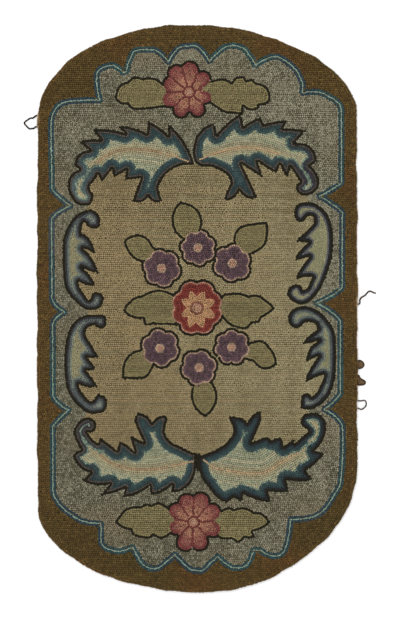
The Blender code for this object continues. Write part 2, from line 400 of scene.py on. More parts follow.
foundation = in_scene("foundation_cloth", foundation_mesh())
foundation.data.materials.append(burlap())
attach(foundation, "root")
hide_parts("hooked_panel")


# --- The four large scroll leaves ---
# Each springs from the middle of an end and curls over towards a side, with a saw-toothed edge.
# The teeth have a dark outline, a thin row and blue rows, and the pale inside is hooked along the leaf.

LOOP = 4.9 * MM  # from one loop of wool to the next, and from row to row
OUTLINE_STEP = 4.2 * MM  # from loop to loop in a dark outline
CLOSEST = 3.6 * MM  # no two loops are hooked nearer than this
PILE_TOP = 8.7 * MM
PILE_FOOT = 1.0 * MM
PILE_SWELL = 0.45 * MM
GRID = 0.5 * MM  # squares that keep account of where loops already are
WIDEST = 5.1 * MM  # loops nearer than this push each other aside while the wool settles
OUTLINE_DEPTH = 0.5 * LOOP  # how far inside a motif's line its dark outline row lies
GAP_DEPTH = 0.3 * LOOP  # in leaves and scrolls, gaps are filled only deeper than this
RUG_WIDTH = 0.7635
RUG_LENGTH = 1.36

# Each corner is (x, y, bow of the line to the next corner), in loops from the rug's middle, clockwise.
# The bow is the line's height over its chord, as a share of the chord, outwards where positive.
LEAF_UPPER_LEFT = (
    (-1.4, 70.4, -0.18), (-19, 60, -0.05), (-17, 52.5, 0.2), (-24, 55, 0.2), (-31.5, 52.5, 0),
    (-27.5, 64, 0), (-35.5, 63, 0), (-34.5, 68, 0), (-41, 64, 0), (-41.5, 68.5, 0), (-46.5, 62, 0),
    (-48.5, 66, 0.05), (-52, 61, -0.25), (-51, 56.5, 0.1), (-51, 54, 0.25), (-55.5, 50.5, 0.15),
    (-61.5, 54.5, 0.12), (-62.5, 64, 0.1), (-57.5, 68, 0), (-60, 70.5, 0.2), (-52.5, 77.5, 0),
    (-57.5, 81.5, 0.06), (-47, 82.5, 0), (-51, 87.5, 0.06), (-35, 85.5, 0), (-39, 89.5, 0.06),
    (-24.5, 85.5, 0), (-24, 91.5, 0.06), (-14, 84.5, 0), (-14.3, 90.4, 0.08),
)
LEAF_UPPER_RIGHT = (
    (-0.5, 71, 0.12), (-1.5, 80, 0.1), (1, 86, 0.12), (8.5, 90.5, 0), (9.5, 85, 0.05), (21.5, 95.5, 0),
    (22.5, 89, 0.04), (31, 93.5, 0), (32.5, 90, 0.04), (44, 92, 0), (42, 88, 0.03), (53, 87, 0),
    (47.5, 81, 0.25), (58.5, 72, 0), (55, 70, 0.1), (59.5, 62.5, 0.15), (57, 57, 0.12), (51.5, 55.5, 0.2),
    (48.5, 59, 0.2), (50.5, 62, 0), (45.5, 69.5, 0), (44, 63.5, 0), (40.5, 70.5, 0), (38.5, 66, 0),
    (29.5, 72, 0), (32, 64, 0), (21.5, 71, 0), (29, 55, 0.15), (25.5, 54, 0.1), (20.5, 58, 0.15),
    (14.5, 53, 0.15), (13.5, 55, 0), (16.5, 61.5, -0.15), (10.5, 68, -0.1), (3, 69.5, 0),
)
LEAF_LOWER_LEFT = (
    (-0.2, -71, 0), (-0.7, -79, 0.12), (-8, -89, 0.05), (-12.5, -89.5, 0), (-12, -86, 0.08), (-23, -91, 0),
    (-23, -86.5, 0.08), (-36.5, -92, 0), (-35, -87.5, 0.05), (-47, -91, 0), (-42.5, -85.5, 0.1),
    (-56, -84, 0), (-52, -80, 0.15), (-60.5, -72, 0.15), (-56.5, -69, 0.05), (-60.5, -60.5, 0.15),
    (-53.5, -53, 0.2), (-49.5, -57.5, 0.3), (-54, -60, -0.05), (-48.5, -66, 0), (-47.5, -63, 0),
    (-39, -69.5, 0), (-38, -64.5, 0), (-34.5, -66.5, 0), (-30.5, -70, 0), (-33, -62, 0), (-26, -65.5, 0),
    (-30.5, -55.5, 0.1), (-29, -51, 0.15), (-22, -56, 0.12), (-17.5, -52.5, 0.25), (-14.5, -53.5, -0.03),
    (-16, -60, -0.15), (-9, -67, -0.03),
)
LEAF_LOWER_RIGHT = (
    (1, -72, -0.03), (11, -68, -0.08), (18, -60, -0.05), (15.5, -53.5, 0.1), (19, -53, 0.15),
    (24.5, -56, 0.1), (30.5, -50, 0.1), (30.5, -56.5, 0), (26.5, -65.5, 0), (34, -62.5, 0.1),
    (36, -64.5, 0.05), (40.5, -63, 0.1), (42, -67.5, 0), (47, -64, 0), (47.5, -66, 0), (54.5, -60, -0.05),
    (51, -57, 0.3), (55, -51, 0.2), (62.5, -55, 0.12), (59.5, -67, 0.05), (57, -69.5, 0.05),
    (62, -71, 0.05), (53, -79, 0), (56.5, -84, 0.03), (43.5, -83.5, 0), (44.5, -89.5, 0.03),
    (34.5, -89, 0), (36, -94.5, 0.05), (22.5, -90.5, 0), (22, -94, 0.05), (18, -92, 0), (14, -95, 0.08),
    (5, -86, 0.08), (1, -79, 0.05),
)
# Dark wool fills the wedge between the feet of the two lower leaves.
LOWER_WEDGE = ((-1, -71, 0), (1.5, -71, 0), (1.2, -76, 0), (0.2, -79.5, 0), (-0.9, -76, 0))
# Each middle row starts at the leaf's foot and ends in its curl: (x, y), in loops.
MIDDLE_UPPER_LEFT = (
    (-4.5, 72), (-14, 75.5), (-24, 77.5), (-34.5, 78), (-43, 75.5), (-48.5, 71.5), (-54, 66), (-57.5, 61),
    (-58, 56), (-55.5, 53.5),
)
MIDDLE_UPPER_RIGHT = (
    (1.5, 73), (12, 77), (24, 79), (34, 77.5), (42, 74.5), (48, 70.5), (52, 66), (55, 60.5), (52.5, 58),
)
MIDDLE_LOWER_LEFT = (
    (-2, -74.5), (-10, -76.5), (-22, -78.5), (-34, -78), (-43.5, -74.5), (-50, -69), (-55, -62.5),
    (-56.5, -58), (-52.5, -55.5),
)
MIDDLE_LOWER_RIGHT = (
    (3, -74), (10, -78), (25.5, -80.5), (34, -79.5), (42, -74.5), (50.5, -69.5), (55, -65), (57.5, -60),
    (55.5, -56.5),
)

INK = (30, 28, 20)
NIGHT = (38, 38, 40)
MAUVE_GREY = (72, 66, 60)
NAVY = (40, 52, 53)
TEAL = (53, 67, 67)
SLATE_BLUE = (70, 80, 80)
PLUM = (50, 47, 52)
PALE_AQUA = (106, 118, 101)
CREAM = (133, 130, 106)
CREAM_GREEN = (125, 127, 104)
BUTTER = (135, 126, 98)
STONE = (129, 123, 99)
PEACH = (144, 122, 95)


def drawn(corners):
    """The closed line through corners: from A to B it is A + (B - A) t + left |AB| bow 4 t (1 - t)."""
    table = np.array(corners, float)
    start = table[:, :2] * LOOP
    chord = np.roll(start, -1, axis=0) - start
    left = np.stack([-chord[:, 1], chord[:, 0]], axis=1)
    t = np.linspace(0.0, 1.0, 16, endpoint=False)[None, :, None]
    line = start[:, None] + chord[:, None] * t + left[:, None] * table[:, 2][:, None, None] * 4 * t * (1 - t)
    return spaced(line.reshape(-1, 2), LOOP / 4, True)


def nearest(points, line):
    """The distance from each point to the nearest point of a line."""
    parts = [
        np.sqrt(((part[:, None] - line[None]) ** 2).sum(axis=2).min(axis=1))
        for part in np.array_split(points, len(points) // 1500 + 1)
    ]
    return np.concatenate(parts)


def inside(points, line):
    """Which points a closed line goes round: a ray along +X from them crosses it an odd number of times."""
    after = np.roll(line, -1, axis=0)
    rise = np.where(after[:, 1] == line[:, 1], 1e-12, after[:, 1] - line[:, 1])
    found = []
    for part in np.array_split(points, len(points) // 3000 + 1):
        x, y = part[:, :1], part[:, 1:2]
        spans = (line[None, :, 1] > y) != (after[None, :, 1] > y)
        crossing = line[None, :, 0] + (y - line[None, :, 1]) * ((after[:, 0] - line[:, 0]) / rise)[None]
        found.append((spans & (crossing > x)).sum(axis=1) % 2 == 1)
    return np.concatenate(found)


def stitches_along(points, closed, step=LOOP):
    """Loops a step apart along a row, each with the row's direction there: x, y, turn."""
    if len(points) < 3 or np.linalg.norm(np.diff(points, axis=0), axis=1).sum() < LOOP / 2:
        return np.array([[*points.mean(axis=0), 0.0]])
    row = spaced(points, step, closed)
    ahead = np.roll(row, -1, axis=0) - np.roll(row, 1, axis=0) if closed else np.gradient(row, axis=0)
    return np.column_stack([row, np.arctan2(ahead[:, 1], ahead[:, 0])])


def rows_of(points, step=LOOP):
    """The rows in points that run round: they are parted wherever two neighbours are far from each other."""
    if len(points) < 2:
        return np.empty((0, 3))
    jump = np.linalg.norm(np.roll(points, -1, axis=0) - points, axis=1)
    breaks = np.flatnonzero(jump > 0.8 * LOOP)
    if len(breaks) == 0:
        return stitches_along(points, True, step)
    points = np.roll(points, -(breaks[0] + 1), axis=0)
    runs = np.split(points, breaks[1:] - breaks[0])
    return np.vstack([stitches_along(run, False, step) for run in runs])


def row_inside(line, depth, step=LOOP):
    """The row that runs at a depth inside a closed clockwise line.

    Each point moves inwards by the depth, fanned out at the corners that point inwards,
    and stays only where no part of the line is nearer than the depth.
    """
    ahead = np.roll(line, -1, axis=0) - np.roll(line, 1, axis=0)
    ahead /= np.linalg.norm(ahead, axis=1)[:, None]
    inward = np.stack([ahead[:, 1], -ahead[:, 0]], axis=1)
    after = np.roll(inward, -1, axis=0)
    bend = np.arccos(np.clip((inward * after).sum(axis=1), -1.0, 1.0))
    parts = 1 + np.floor(bend * depth / (0.3 * LOOP)).astype(int)
    place = np.repeat(np.arange(len(line)), parts)
    share = (np.arange(len(place)) - np.repeat(np.cumsum(parts) - parts, parts)) / np.repeat(parts, parts)
    share = share[:, None]
    turned = inward[place] * (1 - share) + after[place] * share
    turned /= np.linalg.norm(turned, axis=1)[:, None]
    start = line[place] * (1 - share) + np.roll(line, -1, axis=0)[place] * share
    moved = start + turned * depth
    return rows_of(moved[nearest(moved, line) > depth - 0.12 * LOOP], step)


def row_beside(line, offset):
    """The row that runs beside an open line, to its left by the offset."""
    ahead = np.gradient(line, axis=0)
    ahead /= np.linalg.norm(ahead, axis=1)[:, None]
    moved = line + np.stack([-ahead[:, 1], ahead[:, 0]], axis=1) * offset
    return moved[nearest(moved, line) > abs(offset) - 0.12 * LOOP]


span_low = edge.min(axis=0) - 10 * MM
span_high = edge.max(axis=0) + 10 * MM
taken = np.zeros(np.ceil((span_high - span_low) / GRID).astype(int)[::-1], bool)
reach = int(CLOSEST / GRID)
down, over = np.mgrid[-reach : reach + 1, -reach : reach + 1]
footprint = (down**2 + over**2) * GRID**2 < CLOSEST**2
hooked = [np.empty((0, 2))]  # the places of all the loops that now stay where they are


def squares(stitches):
    """The row and column of the account's square that each loop is in."""
    return ((stitches[:, 1::-1] - span_low[::-1]) / GRID).astype(int)


def hook(stitches):
    """Hooks the loops one after another, each only where there is still room for it."""
    found = []
    for n, (row, column) in enumerate(squares(stitches).tolist()):
        if not taken[row, column]:
            taken[row - reach : row + reach + 1, column - reach : column + reach + 1] |= footprint
            found.append(n)
    return stitches[found]


def kept(stitches):
    """The same loops, now listed with those that stay where they are while others settle."""
    hooked.append(stitches[:, :2].copy())
    return stitches


def gaps_in(line, chance):
    """Places for a loop in what is still bare inside a line: all free squares of the account, shuffled."""
    first, last = squares(np.vstack([line.min(axis=0), line.max(axis=0)]))
    free = np.argwhere(~taken[first[0] : last[0] + 1, first[1] : last[1] + 1]) + first
    places = span_low + (free[:, ::-1] + chance.uniform(0.1, 0.9, free.shape)) * GRID
    places = places[inside(places, line)]
    chance.shuffle(places)
    return np.column_stack([places, chance.uniform(0, math.pi, len(places))])


def settled(mine, rounds):
    """The loops once the wool has settled: two that are too near each give way by half of the lack."""
    fixed = np.vstack(hooked)
    wide = int((span_high[0] - span_low[0]) / WIDEST) + 3
    tall = int((span_high[1] - span_low[1]) / WIDEST) + 3
    me = len(fixed) + np.arange(len(mine))
    for _ in range(rounds):
        every = np.vstack([fixed, mine[:, :2]])
        cell = ((every - span_low) / WIDEST).astype(int) + 1
        key = cell[:, 1] * wide + cell[:, 0]
        order = np.argsort(key, kind="stable")
        rank = np.arange(len(order)) - np.searchsorted(key[order], key[order])
        table = np.full((tall * wide, 6), -1)
        fits = rank < 6
        table[key[order][fits], rank[fits]] = order[fits]
        around = [table[key[me] + down * wide + over] for down in (-1, 0, 1) for over in (-1, 0, 1)]
        near = np.concatenate(around, axis=1)
        apart = mine[:, None, :2] - every[near]
        far = np.maximum(np.linalg.norm(apart, axis=2), 1e-6)
        pressed = (near >= 0) & (near != me[:, None]) & (far < WIDEST)
        push = (apart * np.where(pressed, (WIDEST - far) / 2 / far, 0.0)[..., None]).sum(axis=1)
        mine[:, :2] += push.clip(-0.4 * MM, 0.4 * MM)
    return kept(mine)


def row_tones(row, tone):
    """A row's loops with one tone for all of them: x, y, turn, red, green, blue."""
    return np.column_stack([row, np.tile(np.array(tone, float), (len(row), 1))])


def mixed(first, second, share):
    """Tones between two, by a share from 0 to 1 for each loop."""
    share = share.clip(0, 1)[:, None]
    return np.array(first, float) * (1 - share) + np.array(second, float) * share


WOOL_LIFT = 1.32  # how much lighter the dye is than it looks in the picture, for the shade between the loops
# Each odd yarn is (its tone, its width as a share of the others', how far its loops wander from their row).
ODD_YARNS = ((INK, 1.6, 0.6 * MM), (NIGHT, 1.2, 0.3 * MM), (MAUVE_GREY, 0.8, 0.3 * MM))


def dyed(stitches, chance, uneven):
    """The loops with their dye, which the wool takes unevenly, and their yarn: x, y, turn, dye, width."""
    tones = stitches[:, 3:6]
    light = (tones / 255.0) ** 2.2 * WOOL_LIFT
    strength = chance.normal(0, uneven, (len(light), 1))
    light = light * np.exp(strength + chance.normal(0, uneven / 8, light.shape))
    width = np.ones(len(light))
    places = stitches[:, :3].copy()
    for tone, share, wander in ODD_YARNS:
        same = np.abs(tones - np.array(tone)).sum(axis=1) < 0.5
        width[same] = share
        places[same, :2] += chance.normal(0, wander, (same.sum(), 2))
    return np.column_stack([places, light, width])


def worked(outline, rows, line, gap_tones, gap_depth, chance, uneven):
    """A motif's loops, dyed: the outline is hooked first and stays, then its rows, then loops in its gaps.

    The gaps are filled only deeper than gap_depth inside the line, in the tones that gap_tones gives
    for their places and depths, and all but the outline settle.
    """
    outline = kept(hook(outline))
    rows = hook(rows)
    gaps = gaps_in(line, chance)
    depth = nearest(gaps[:, :2], line)
    gaps, depth = gaps[depth > gap_depth], depth[depth > gap_depth]
    gaps = hook(np.column_stack([gaps, gap_tones(gaps[:, :2], depth / LOOP)]))
    return dyed(np.vstack([outline, settled(np.vstack([rows, gaps]), 3)]), chance, uneven)


# A loop seen from above is an oblong with six corners: (share of its length, share of its width).
OBLONG = np.array([(1.0, 0.0), (0.7, 0.95), (-0.7, 0.95), (-1.0, 0.0), (-0.7, -0.95), (0.7, -0.95)])
# Each ring of a loop is (share of its size, height as a share of foot to top, place in its map).
LOOP_RINGS = ((1.0, 0.55, 0.40), (0.72, 0.95, 0.24))


def pile(name, stitches, long, short, material, chance, top=PILE_TOP):
    """One piece of pile: every loop is a small closed dome, a foot point, a widest ring and a shoulder ring.

    A ring's points are place + turned (long a, short b) share + lean rise, at foot + (top - foot) rise,
    with (a, b) the oblong's corners. Wide yarns stand a little higher. In the map each loop has a square.
    """
    count = len(stitches)
    size = chance.normal(1.0, 0.05, (count, 1)).clip(0.88, 1.12)
    x, y = stitches[:, 0], stitches[:, 1]
    swell = np.sin(3 * math.pi * x / RUG_WIDTH + 0.6) * np.sin(7 * math.pi * y / RUG_LENGTH + 0.3)
    summit = top + PILE_SWELL * swell + chance.normal(0, 0.16 * MM, count).clip(-0.35 * MM, 0.3 * MM)
    summit += 0.9 * MM * (stitches[:, 6] - 1.15).clip(0, 0.45)
    lean = chance.normal(0, 0.28 * MM, (count, 2))
    cos, sin = np.cos(stitches[:, 2:3]), np.sin(stitches[:, 2:3])
    points = np.empty((count, 13, 3))
    points[:, 0] = np.column_stack([x, y, np.full(count, PILE_FOOT)])
    for k, (share, rise, _) in enumerate(LOOP_RINGS):
        along = long * share * size * OBLONG[:, 0]
        across = short * share * size * stitches[:, 6:7] * OBLONG[:, 1]
        ring = points[:, 1 + 6 * k : 7 + 6 * k]
        ring[..., 0] = x[:, None] + along * cos - across * sin + lean[:, :1] * rise
        ring[..., 1] = y[:, None] + along * sin + across * cos + lean[:, 1:] * rise
        ring[..., 2] = (PILE_FOOT + (summit - PILE_FOOT) * rise)[:, None]
    here = np.arange(6)
    after = (here + 1) % 6
    foot = np.stack([np.zeros(6, int), 1 + after, 1 + here], axis=1)
    side = np.stack([1 + here, 1 + after, 7 + after, 7 + here], axis=1)
    corners = np.concatenate([foot.ravel(), side.ravel(), 7 + here])
    sizes = np.concatenate([np.full(6, 3), np.full(6, 4), [6]])
    rim, shoulder = LOOP_RINGS[0][2], LOOP_RINGS[1][2]
    circle = np.stack([np.cos(here * math.pi / 3), np.sin(here * math.pi / 3)], axis=1)
    between = (circle + circle[after]) / 2
    foot_map = np.stack([0.56 * between, rim * circle[after], rim * circle], axis=1)
    top_map = shoulder * circle
    side_map = np.stack([rim * circle, rim * circle[after], top_map[after], top_map], axis=1)
    one_map = np.concatenate([foot_map.reshape(-1, 2), side_map.reshape(-1, 2), top_map])
    across = math.ceil(math.sqrt(count))
    square = np.stack([np.arange(count) % across, np.arange(count) // across], axis=1)
    mesh = bpy.data.meshes.new(name)
    mesh.vertices.add(13 * count)
    mesh.vertices.foreach_set("co", points.ravel())
    mesh.loops.add(48 * count)
    mesh.loops.foreach_set("vertex_index", (np.arange(count)[:, None] * 13 + corners[None]).ravel())
    mesh.polygons.add(13 * count)
    starts = np.concatenate([[0], np.cumsum(sizes)[:-1]])
    mesh.polygons.foreach_set("loop_start", (np.arange(count)[:, None] * 48 + starts[None]).ravel())
    mesh.update(calc_edges=True)
    mesh.shade_smooth()
    layer = mesh.uv_layers.new(name="OFBake")
    layer.uv.foreach_set("vector", ((square[:, None] + 0.5 + one_map[None]) / across).ravel())
    give_dye(mesh, np.repeat(stitches[:, 3:6], 13, axis=0))
    mesh.materials.append(material)
    made = in_scene(name, mesh)
    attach(made, "root")


def scroll_leaf(corners, middle, edge_tones, chance):
    """One leaf: an outline, a thin row, blue rows, a pale fringe, then rows along its middle in creams.

    The blue goes in by 0.74 of the widest half width from there to the curl, from 2.5 to 4.0 loops.
    One row of peach runs through it to the foot.
    """
    line = drawn(corners)
    spine = smooth_route(np.array(middle, float) * LOOP, LOOP / 4)
    half_width = nearest(spine, line) / LOOP
    blue_limit = (0.74 * np.maximum.accumulate(half_width[::-1])[::-1]).clip(2.5, 4.0)

    def beside_spine(places):
        """The number of the point in the leaf's middle row that is nearest to each place."""
        parts = np.array_split(places, len(places) // 1500 + 1)
        found = [((part[:, None] - spine[None]) ** 2).sum(axis=2).argmin(axis=1) for part in parts]
        return np.concatenate(found)

    def edge_tone(places, depth):
        """The tones at depths inside the leaf's edge. The blue turns to the last edge tone in the curl."""
        where = beside_spine(places)
        limit = blue_limit[where]
        tones = mixed(edge_tones[2], edge_tones[3], (depth - 1.9) / (limit - 1.9).clip(0.5))
        curled = (where / len(spine) - 0.62) * 4 + chance.normal(0, 0.15, len(where))
        tones = mixed(tones, edge_tones[4], curled)
        tones[depth < 1.85] = edge_tones[1]
        tones[depth < 1.0] = edge_tones[0]
        fringe = mixed(edge_tones[3], PALE_AQUA, chance.uniform(0.3, 1.2, len(where)))
        tones[depth > limit] = fringe[depth > limit]
        tones[depth > limit + 0.9] = CREAM
        return tones

    outline = row_tones(row_inside(line, OUTLINE_DEPTH, OUTLINE_STEP), edge_tones[0])
    to_foot = spine[: len(spine) // 6]
    parts = [row_tones(rows_of(to_foot[nearest(to_foot, line) > 1.1 * LOOP]), PEACH)]
    for depth in LEAF_ROWS:
        row = row_inside(line, depth * LOOP)
        if len(row):
            tones = edge_tone(row[:, :2], np.full(len(row), depth))
            parts.append(np.column_stack([row, tones])[depth < blue_limit[beside_spine(row[:, :2])] + 0.8])
    for step in sorted(range(-14, 15), key=abs):
        beside = row_beside(spine, step * LOOP)
        beside = beside[inside(beside, line)]
        beside = beside[nearest(beside, line) / LOOP > blue_limit[beside_spine(beside)] + 1.0]
        row = rows_of(beside)
        tone = np.array(INSIDE_ROWS[min(abs(step), len(INSIDE_ROWS) - 1)]) * chance.normal(1.0, 0.03)
        curled = (beside_spine(row[:, :2]) / len(spine) - 0.65) * 4 if len(row) else np.zeros(0)
        parts.append(np.column_stack([row, mixed(tone, BUTTER, curled)]))
    return worked(outline, np.vstack(parts), line, edge_tone, GAP_DEPTH, chance, 0.09)


chance = np.random.default_rng(20)
LEAF_ROWS = (1.45, 2.3, 3.15, 4.0, 4.85)  # depths of the rows that follow the leaf's edge, in loops
# Each leaf's edge is (outline, thin row, outer blue, inner blue, what the blue turns to in the curl).
LEAF_EDGES = (
    (INK, MAUVE_GREY, NAVY, TEAL, SLATE_BLUE),
    (INK, MAUVE_GREY, NAVY, TEAL, PLUM),
    (INK, MAUVE_GREY, NAVY, TEAL, PLUM),
    (INK, NIGHT, NAVY, TEAL, NAVY),
)
INSIDE_ROWS = (PEACH, BUTTER, STONE, CREAM, CREAM_GREEN, CREAM, CREAM, CREAM_GREEN)
LEAVES = (
    (LEAF_UPPER_LEFT, MIDDLE_UPPER_LEFT),
    (LEAF_UPPER_RIGHT, MIDDLE_UPPER_RIGHT),
    (LEAF_LOWER_LEFT, MIDDLE_LOWER_LEFT),
    (LEAF_LOWER_RIGHT, MIDDLE_LOWER_RIGHT),
)
leaf_parts = [scroll_leaf(*leaf, tones, chance) for leaf, tones in zip(LEAVES, LEAF_EDGES)]
leaf_wool = wool("scroll leaf wool", 0.45, 0.35 * MM)
wedge = kept(hook(row_tones(gaps_in(drawn(LOWER_WEDGE), chance), INK)))
scroll_leaves = np.vstack([*leaf_parts, dyed(wedge, chance, 0.09)])
pile("scroll_leaves_pile", scroll_leaves, 2.85 * MM, 2.75 * MM, leaf_wool, chance)


# --- The four side scrolls ---
# Long C-shaped scrolls, toothed on the inside, that close the field's two sides between the large leaves.
# They are hooked in rows that follow the outline to the middle.

SCROLL_LEFT_UPPER = (
    (-52, 48.5, 0.2), (-47.5, 42, 0.2), (-49, 39.5, 0.1), (-54, 40.5, -0.15), (-55.5, 42.5, -0.1),
    (-56.5, 36.5, 0.1), (-53.5, 35, 0.08), (-50, 27, 0), (-53.5, 29, 0), (-56, 29.5, 0), (-52.5, 26, 0.06),
    (-48.5, 17.5, 0.05), (-56.5, 20.5, 0), (-53.5, 17.5, 0.05), (-50, 11.5, 0.1), (-58, 13.5, -0.1),
    (-55.5, 7.5, -0.05), (-53, 4, -0.1), (-51.5, 7, 0.2), (-48.5, 8, 0.25), (-46, 3.5, 0.2),
    (-51, -0.5, 0.15), (-59, 3.5, 0.1), (-65, 13, 0.02), (-65.5, 33.5, 0.06), (-60.5, 44.5, 0.08),
)
SCROLL_LEFT_LOWER = (
    (-51.5, -3, 0), (-46.5, -3, 0.25), (-44.5, -6, 0.25), (-47, -9.5, 0.1), (-50, -8, -0.05),
    (-52.5, -8.5, -0.2), (-54.5, -13.5, 0.02), (-48.5, -23.5, 0.1), (-54, -23.5, 0), (-50, -28.5, 0.2),
    (-51.5, -30, 0), (-54.5, -30, 0.03), (-49, -38, 0.1), (-58, -36.5, -0.1), (-55, -42.5, -0.05),
    (-52, -45.5, -0.1), (-49, -42, 0.25), (-44, -46, 0.25), (-49, -51, 0.15), (-56, -49, 0.08),
    (-63.5, -39.5, 0.05), (-64, -16, 0.08), (-60, -6.5, 0.12),
)
SCROLL_RIGHT_UPPER = (
    (47.5, 46.5, 0.25), (52.5, 52, 0.05), (57.5, 51.5, 0.12), (65.5, 41, 0.05), (65.5, 24, 0.03),
    (60, 9.5, 0.08), (52, 2, 0.15), (44, 7, 0.2), (48.5, 12, 0.2), (51.5, 9, -0.2), (55, 13, -0.03),
    (56.5, 15.5, -0.1), (48, 14, 0.08), (50, 18.5, 0.02), (55, 25.5, 0), (47.5, 23.5, 0.08),
    (50, 28, 0.02), (54.5, 32.5, 0), (48.5, 33, 0.05), (52, 36.5, 0), (57, 41.5, -0.05), (57, 45, -0.25),
    (52.5, 43.5, 0.1), (50.5, 42.5, 0.2),
)
SCROLL_RIGHT_LOWER = (
    (44.5, -5.5, 0.2), (50, 1, 0.08), (56, 0.5, 0.08), (64, -6, 0.08), (67.5, -13.5, 0.02),
    (67.5, -32.5, 0.05), (64, -43, 0.08), (56, -49, 0.08), (51, -48.5, 0.05), (51, -43, 0.2),
    (54, -41.5, 0.1), (56, -43, -0.1), (60, -38, -0.05), (62, -32, -0.05), (52.5, -36.5, 0.05),
    (55.5, -29, 0.02), (59.5, -23, 0), (53.5, -25.5, 0.08), (55.5, -18.5, 0.02), (59.5, -15.5, 0),
    (51.5, -17.5, 0.1), (53.5, -14.5, 0.02), (59, -10, -0.05), (58, -7.5, -0.15), (52, -7, 0.1),
    (49, -9.5, 0.2),
)
DUSK = (50, 49, 49)
SLATE = (72, 77, 76)
LILAC = (82, 82, 82)
ICE = (99, 104, 93)
STRAW = (118, 113, 87)
STRAW_GREEN = (118, 116, 89)
SCROLL_ROWS = (1.4, 2.25, 3.1, 3.95, 4.8, 5.65, 6.5, 7.35)  # depths of the rows inside the outline
# Each band is (how deep it goes, in loops, and its tone).
LEFT_BANDS = ((1.0, INK), (1.9, DUSK), (2.9, SLATE), (3.7, ICE), (99, STRAW))
RIGHT_UPPER_BANDS = ((1.0, INK), (1.8, NIGHT), (2.5, LILAC), (99, STRAW_GREEN))
RIGHT_LOWER_BANDS = ((1.0, INK), (1.8, NIGHT), (2.6, SLATE), (3.4, ICE), (99, STRAW_GREEN))


def side_scroll(corners, bands, chance):
    """One scroll: rows inside one another from the outline to the middle, each in its band's tone."""
    line = drawn(corners)
    limits = np.array([band[0] for band in bands[:-1]])
    band_tones = np.array([band[1] for band in bands], float)

    def banded(places, depth):
        """The tone at each depth: that of the first band that reaches so far."""
        return band_tones[np.searchsorted(limits, depth)]

    parts = []
    for depth in SCROLL_ROWS:
        row = row_inside(line, depth * LOOP)
        parts.append(np.column_stack([row, banded(row, np.full(len(row), depth))]))
    outline = row_tones(row_inside(line, OUTLINE_DEPTH, OUTLINE_STEP), INK)
    return worked(outline, np.vstack(parts), line, banded, GAP_DEPTH, chance, 0.09)


side_scrolls = (
    side_scroll(SCROLL_LEFT_UPPER, LEFT_BANDS, chance),
    side_scroll(SCROLL_LEFT_LOWER, LEFT_BANDS, chance),
    side_scroll(SCROLL_RIGHT_UPPER, RIGHT_UPPER_BANDS, chance),
    side_scroll(SCROLL_RIGHT_LOWER, RIGHT_LOWER_BANDS, chance),
)
scroll_wool = wool("side scroll wool", 0.45, 0.35 * MM)
pile("side_scrolls_pile", np.vstack(side_scrolls), 2.85 * MM, 2.6 * MM, scroll_wool, chance)


# --- The red flower in the middle and the six purple flowers round it ---
# Each has a dark outline where it lies against the field, a pale row inside that, then its own wool.
# The red one also has a star with eight points, and a small dark ring round its eye.

# Each petal is (direction in degrees from +X towards +Y, reach in loops from the flower's middle).
RED_PETALS = (
    (22, 13.6), (68, 14.4), (112, 14.4), (158, 13.6), (202, 13.6), (248, 14.2), (292, 14.2), (338, 13.6),
)
STAR_POINTS = (
    (23, 9.3), (67, 8.6), (113, 8.2), (152, 8.4), (207, 8.4), (248, 9.6), (285, 9.8), (334, 9.6),
)
RED_MIDDLE = (-0.1, 0.4)
# Each purple flower is (x, y, direction of its first petal, petals, reach), in loops and degrees.
PURPLE_FLOWERS = (
    (0.4, 29.8, 20, 7, 9.7),
    (-17.4, 19.8, 45, 6, 10.2),
    (17.2, 22.2, 80, 6, 10.0),
    (-18.2, -19.2, 100, 6, 10.2),
    (16.8, -18.8, 90, 7, 9.6),
    (1.0, -28.8, 15, 6, 9.8),
)
# Each heart-shaped leaf is a table of corners, as for the scroll leaves. Its foot lies under its flower.
HEART_LEAVES = (
    (
        (-8.4, 52.3, 0.06), (-1.5, 50, 0.1), (2.3, 43.5, 0.08), (1.5, 38, 0), (-1, 33, 0), (-7.5, 34, 0),
        (-11, 37.5, 0.05), (-12.5, 44, 0.1),
    ),
    (
        (-35.8, 33, 0.1), (-31, 36, 0.1), (-25.4, 35.4, 0.08), (-22, 31, 0), (-18, 27, 0), (-20, 21, 0),
        (-26.8, 22.8, 0.08), (-32, 25.5, 0.08),
    ),
    (
        (34.2, 42.3, 0.05), (34, 33, 0.1), (30.3, 28.6, 0.05), (25, 26, 0), (20, 24, 0), (18.2, 31, 0.1),
        (18.4, 37, 0.12), (22.5, 40.8, 0.03),
    ),
    (
        (-36.6, -34, 0.05), (-36.2, -27.5, 0.08), (-32.8, -22, 0.08), (-26, -19.6, 0), (-20, -22, 0),
        (-21, -28, 0), (-23.4, -32, 0.1), (-27, -34.2, 0.02),
    ),
    (
        (24.5, -17, 0.03), (30.2, -15.2, 0.12), (35.5, -18.8, 0.1), (38.8, -26.8, 0.12),
        (32.5, -29.6, 0.1), (27.5, -25.8, 0), (22, -24.5, 0), (20, -20, 0),
    ),
    (
        (4, -52.8, 0.1), (-2, -47, 0.08), (-2.8, -39.5, 0), (-1, -33, 0), (6, -34, 0), (9, -38.5, 0.05),
        (9.8, -44.5, 0.1),
    ),
)
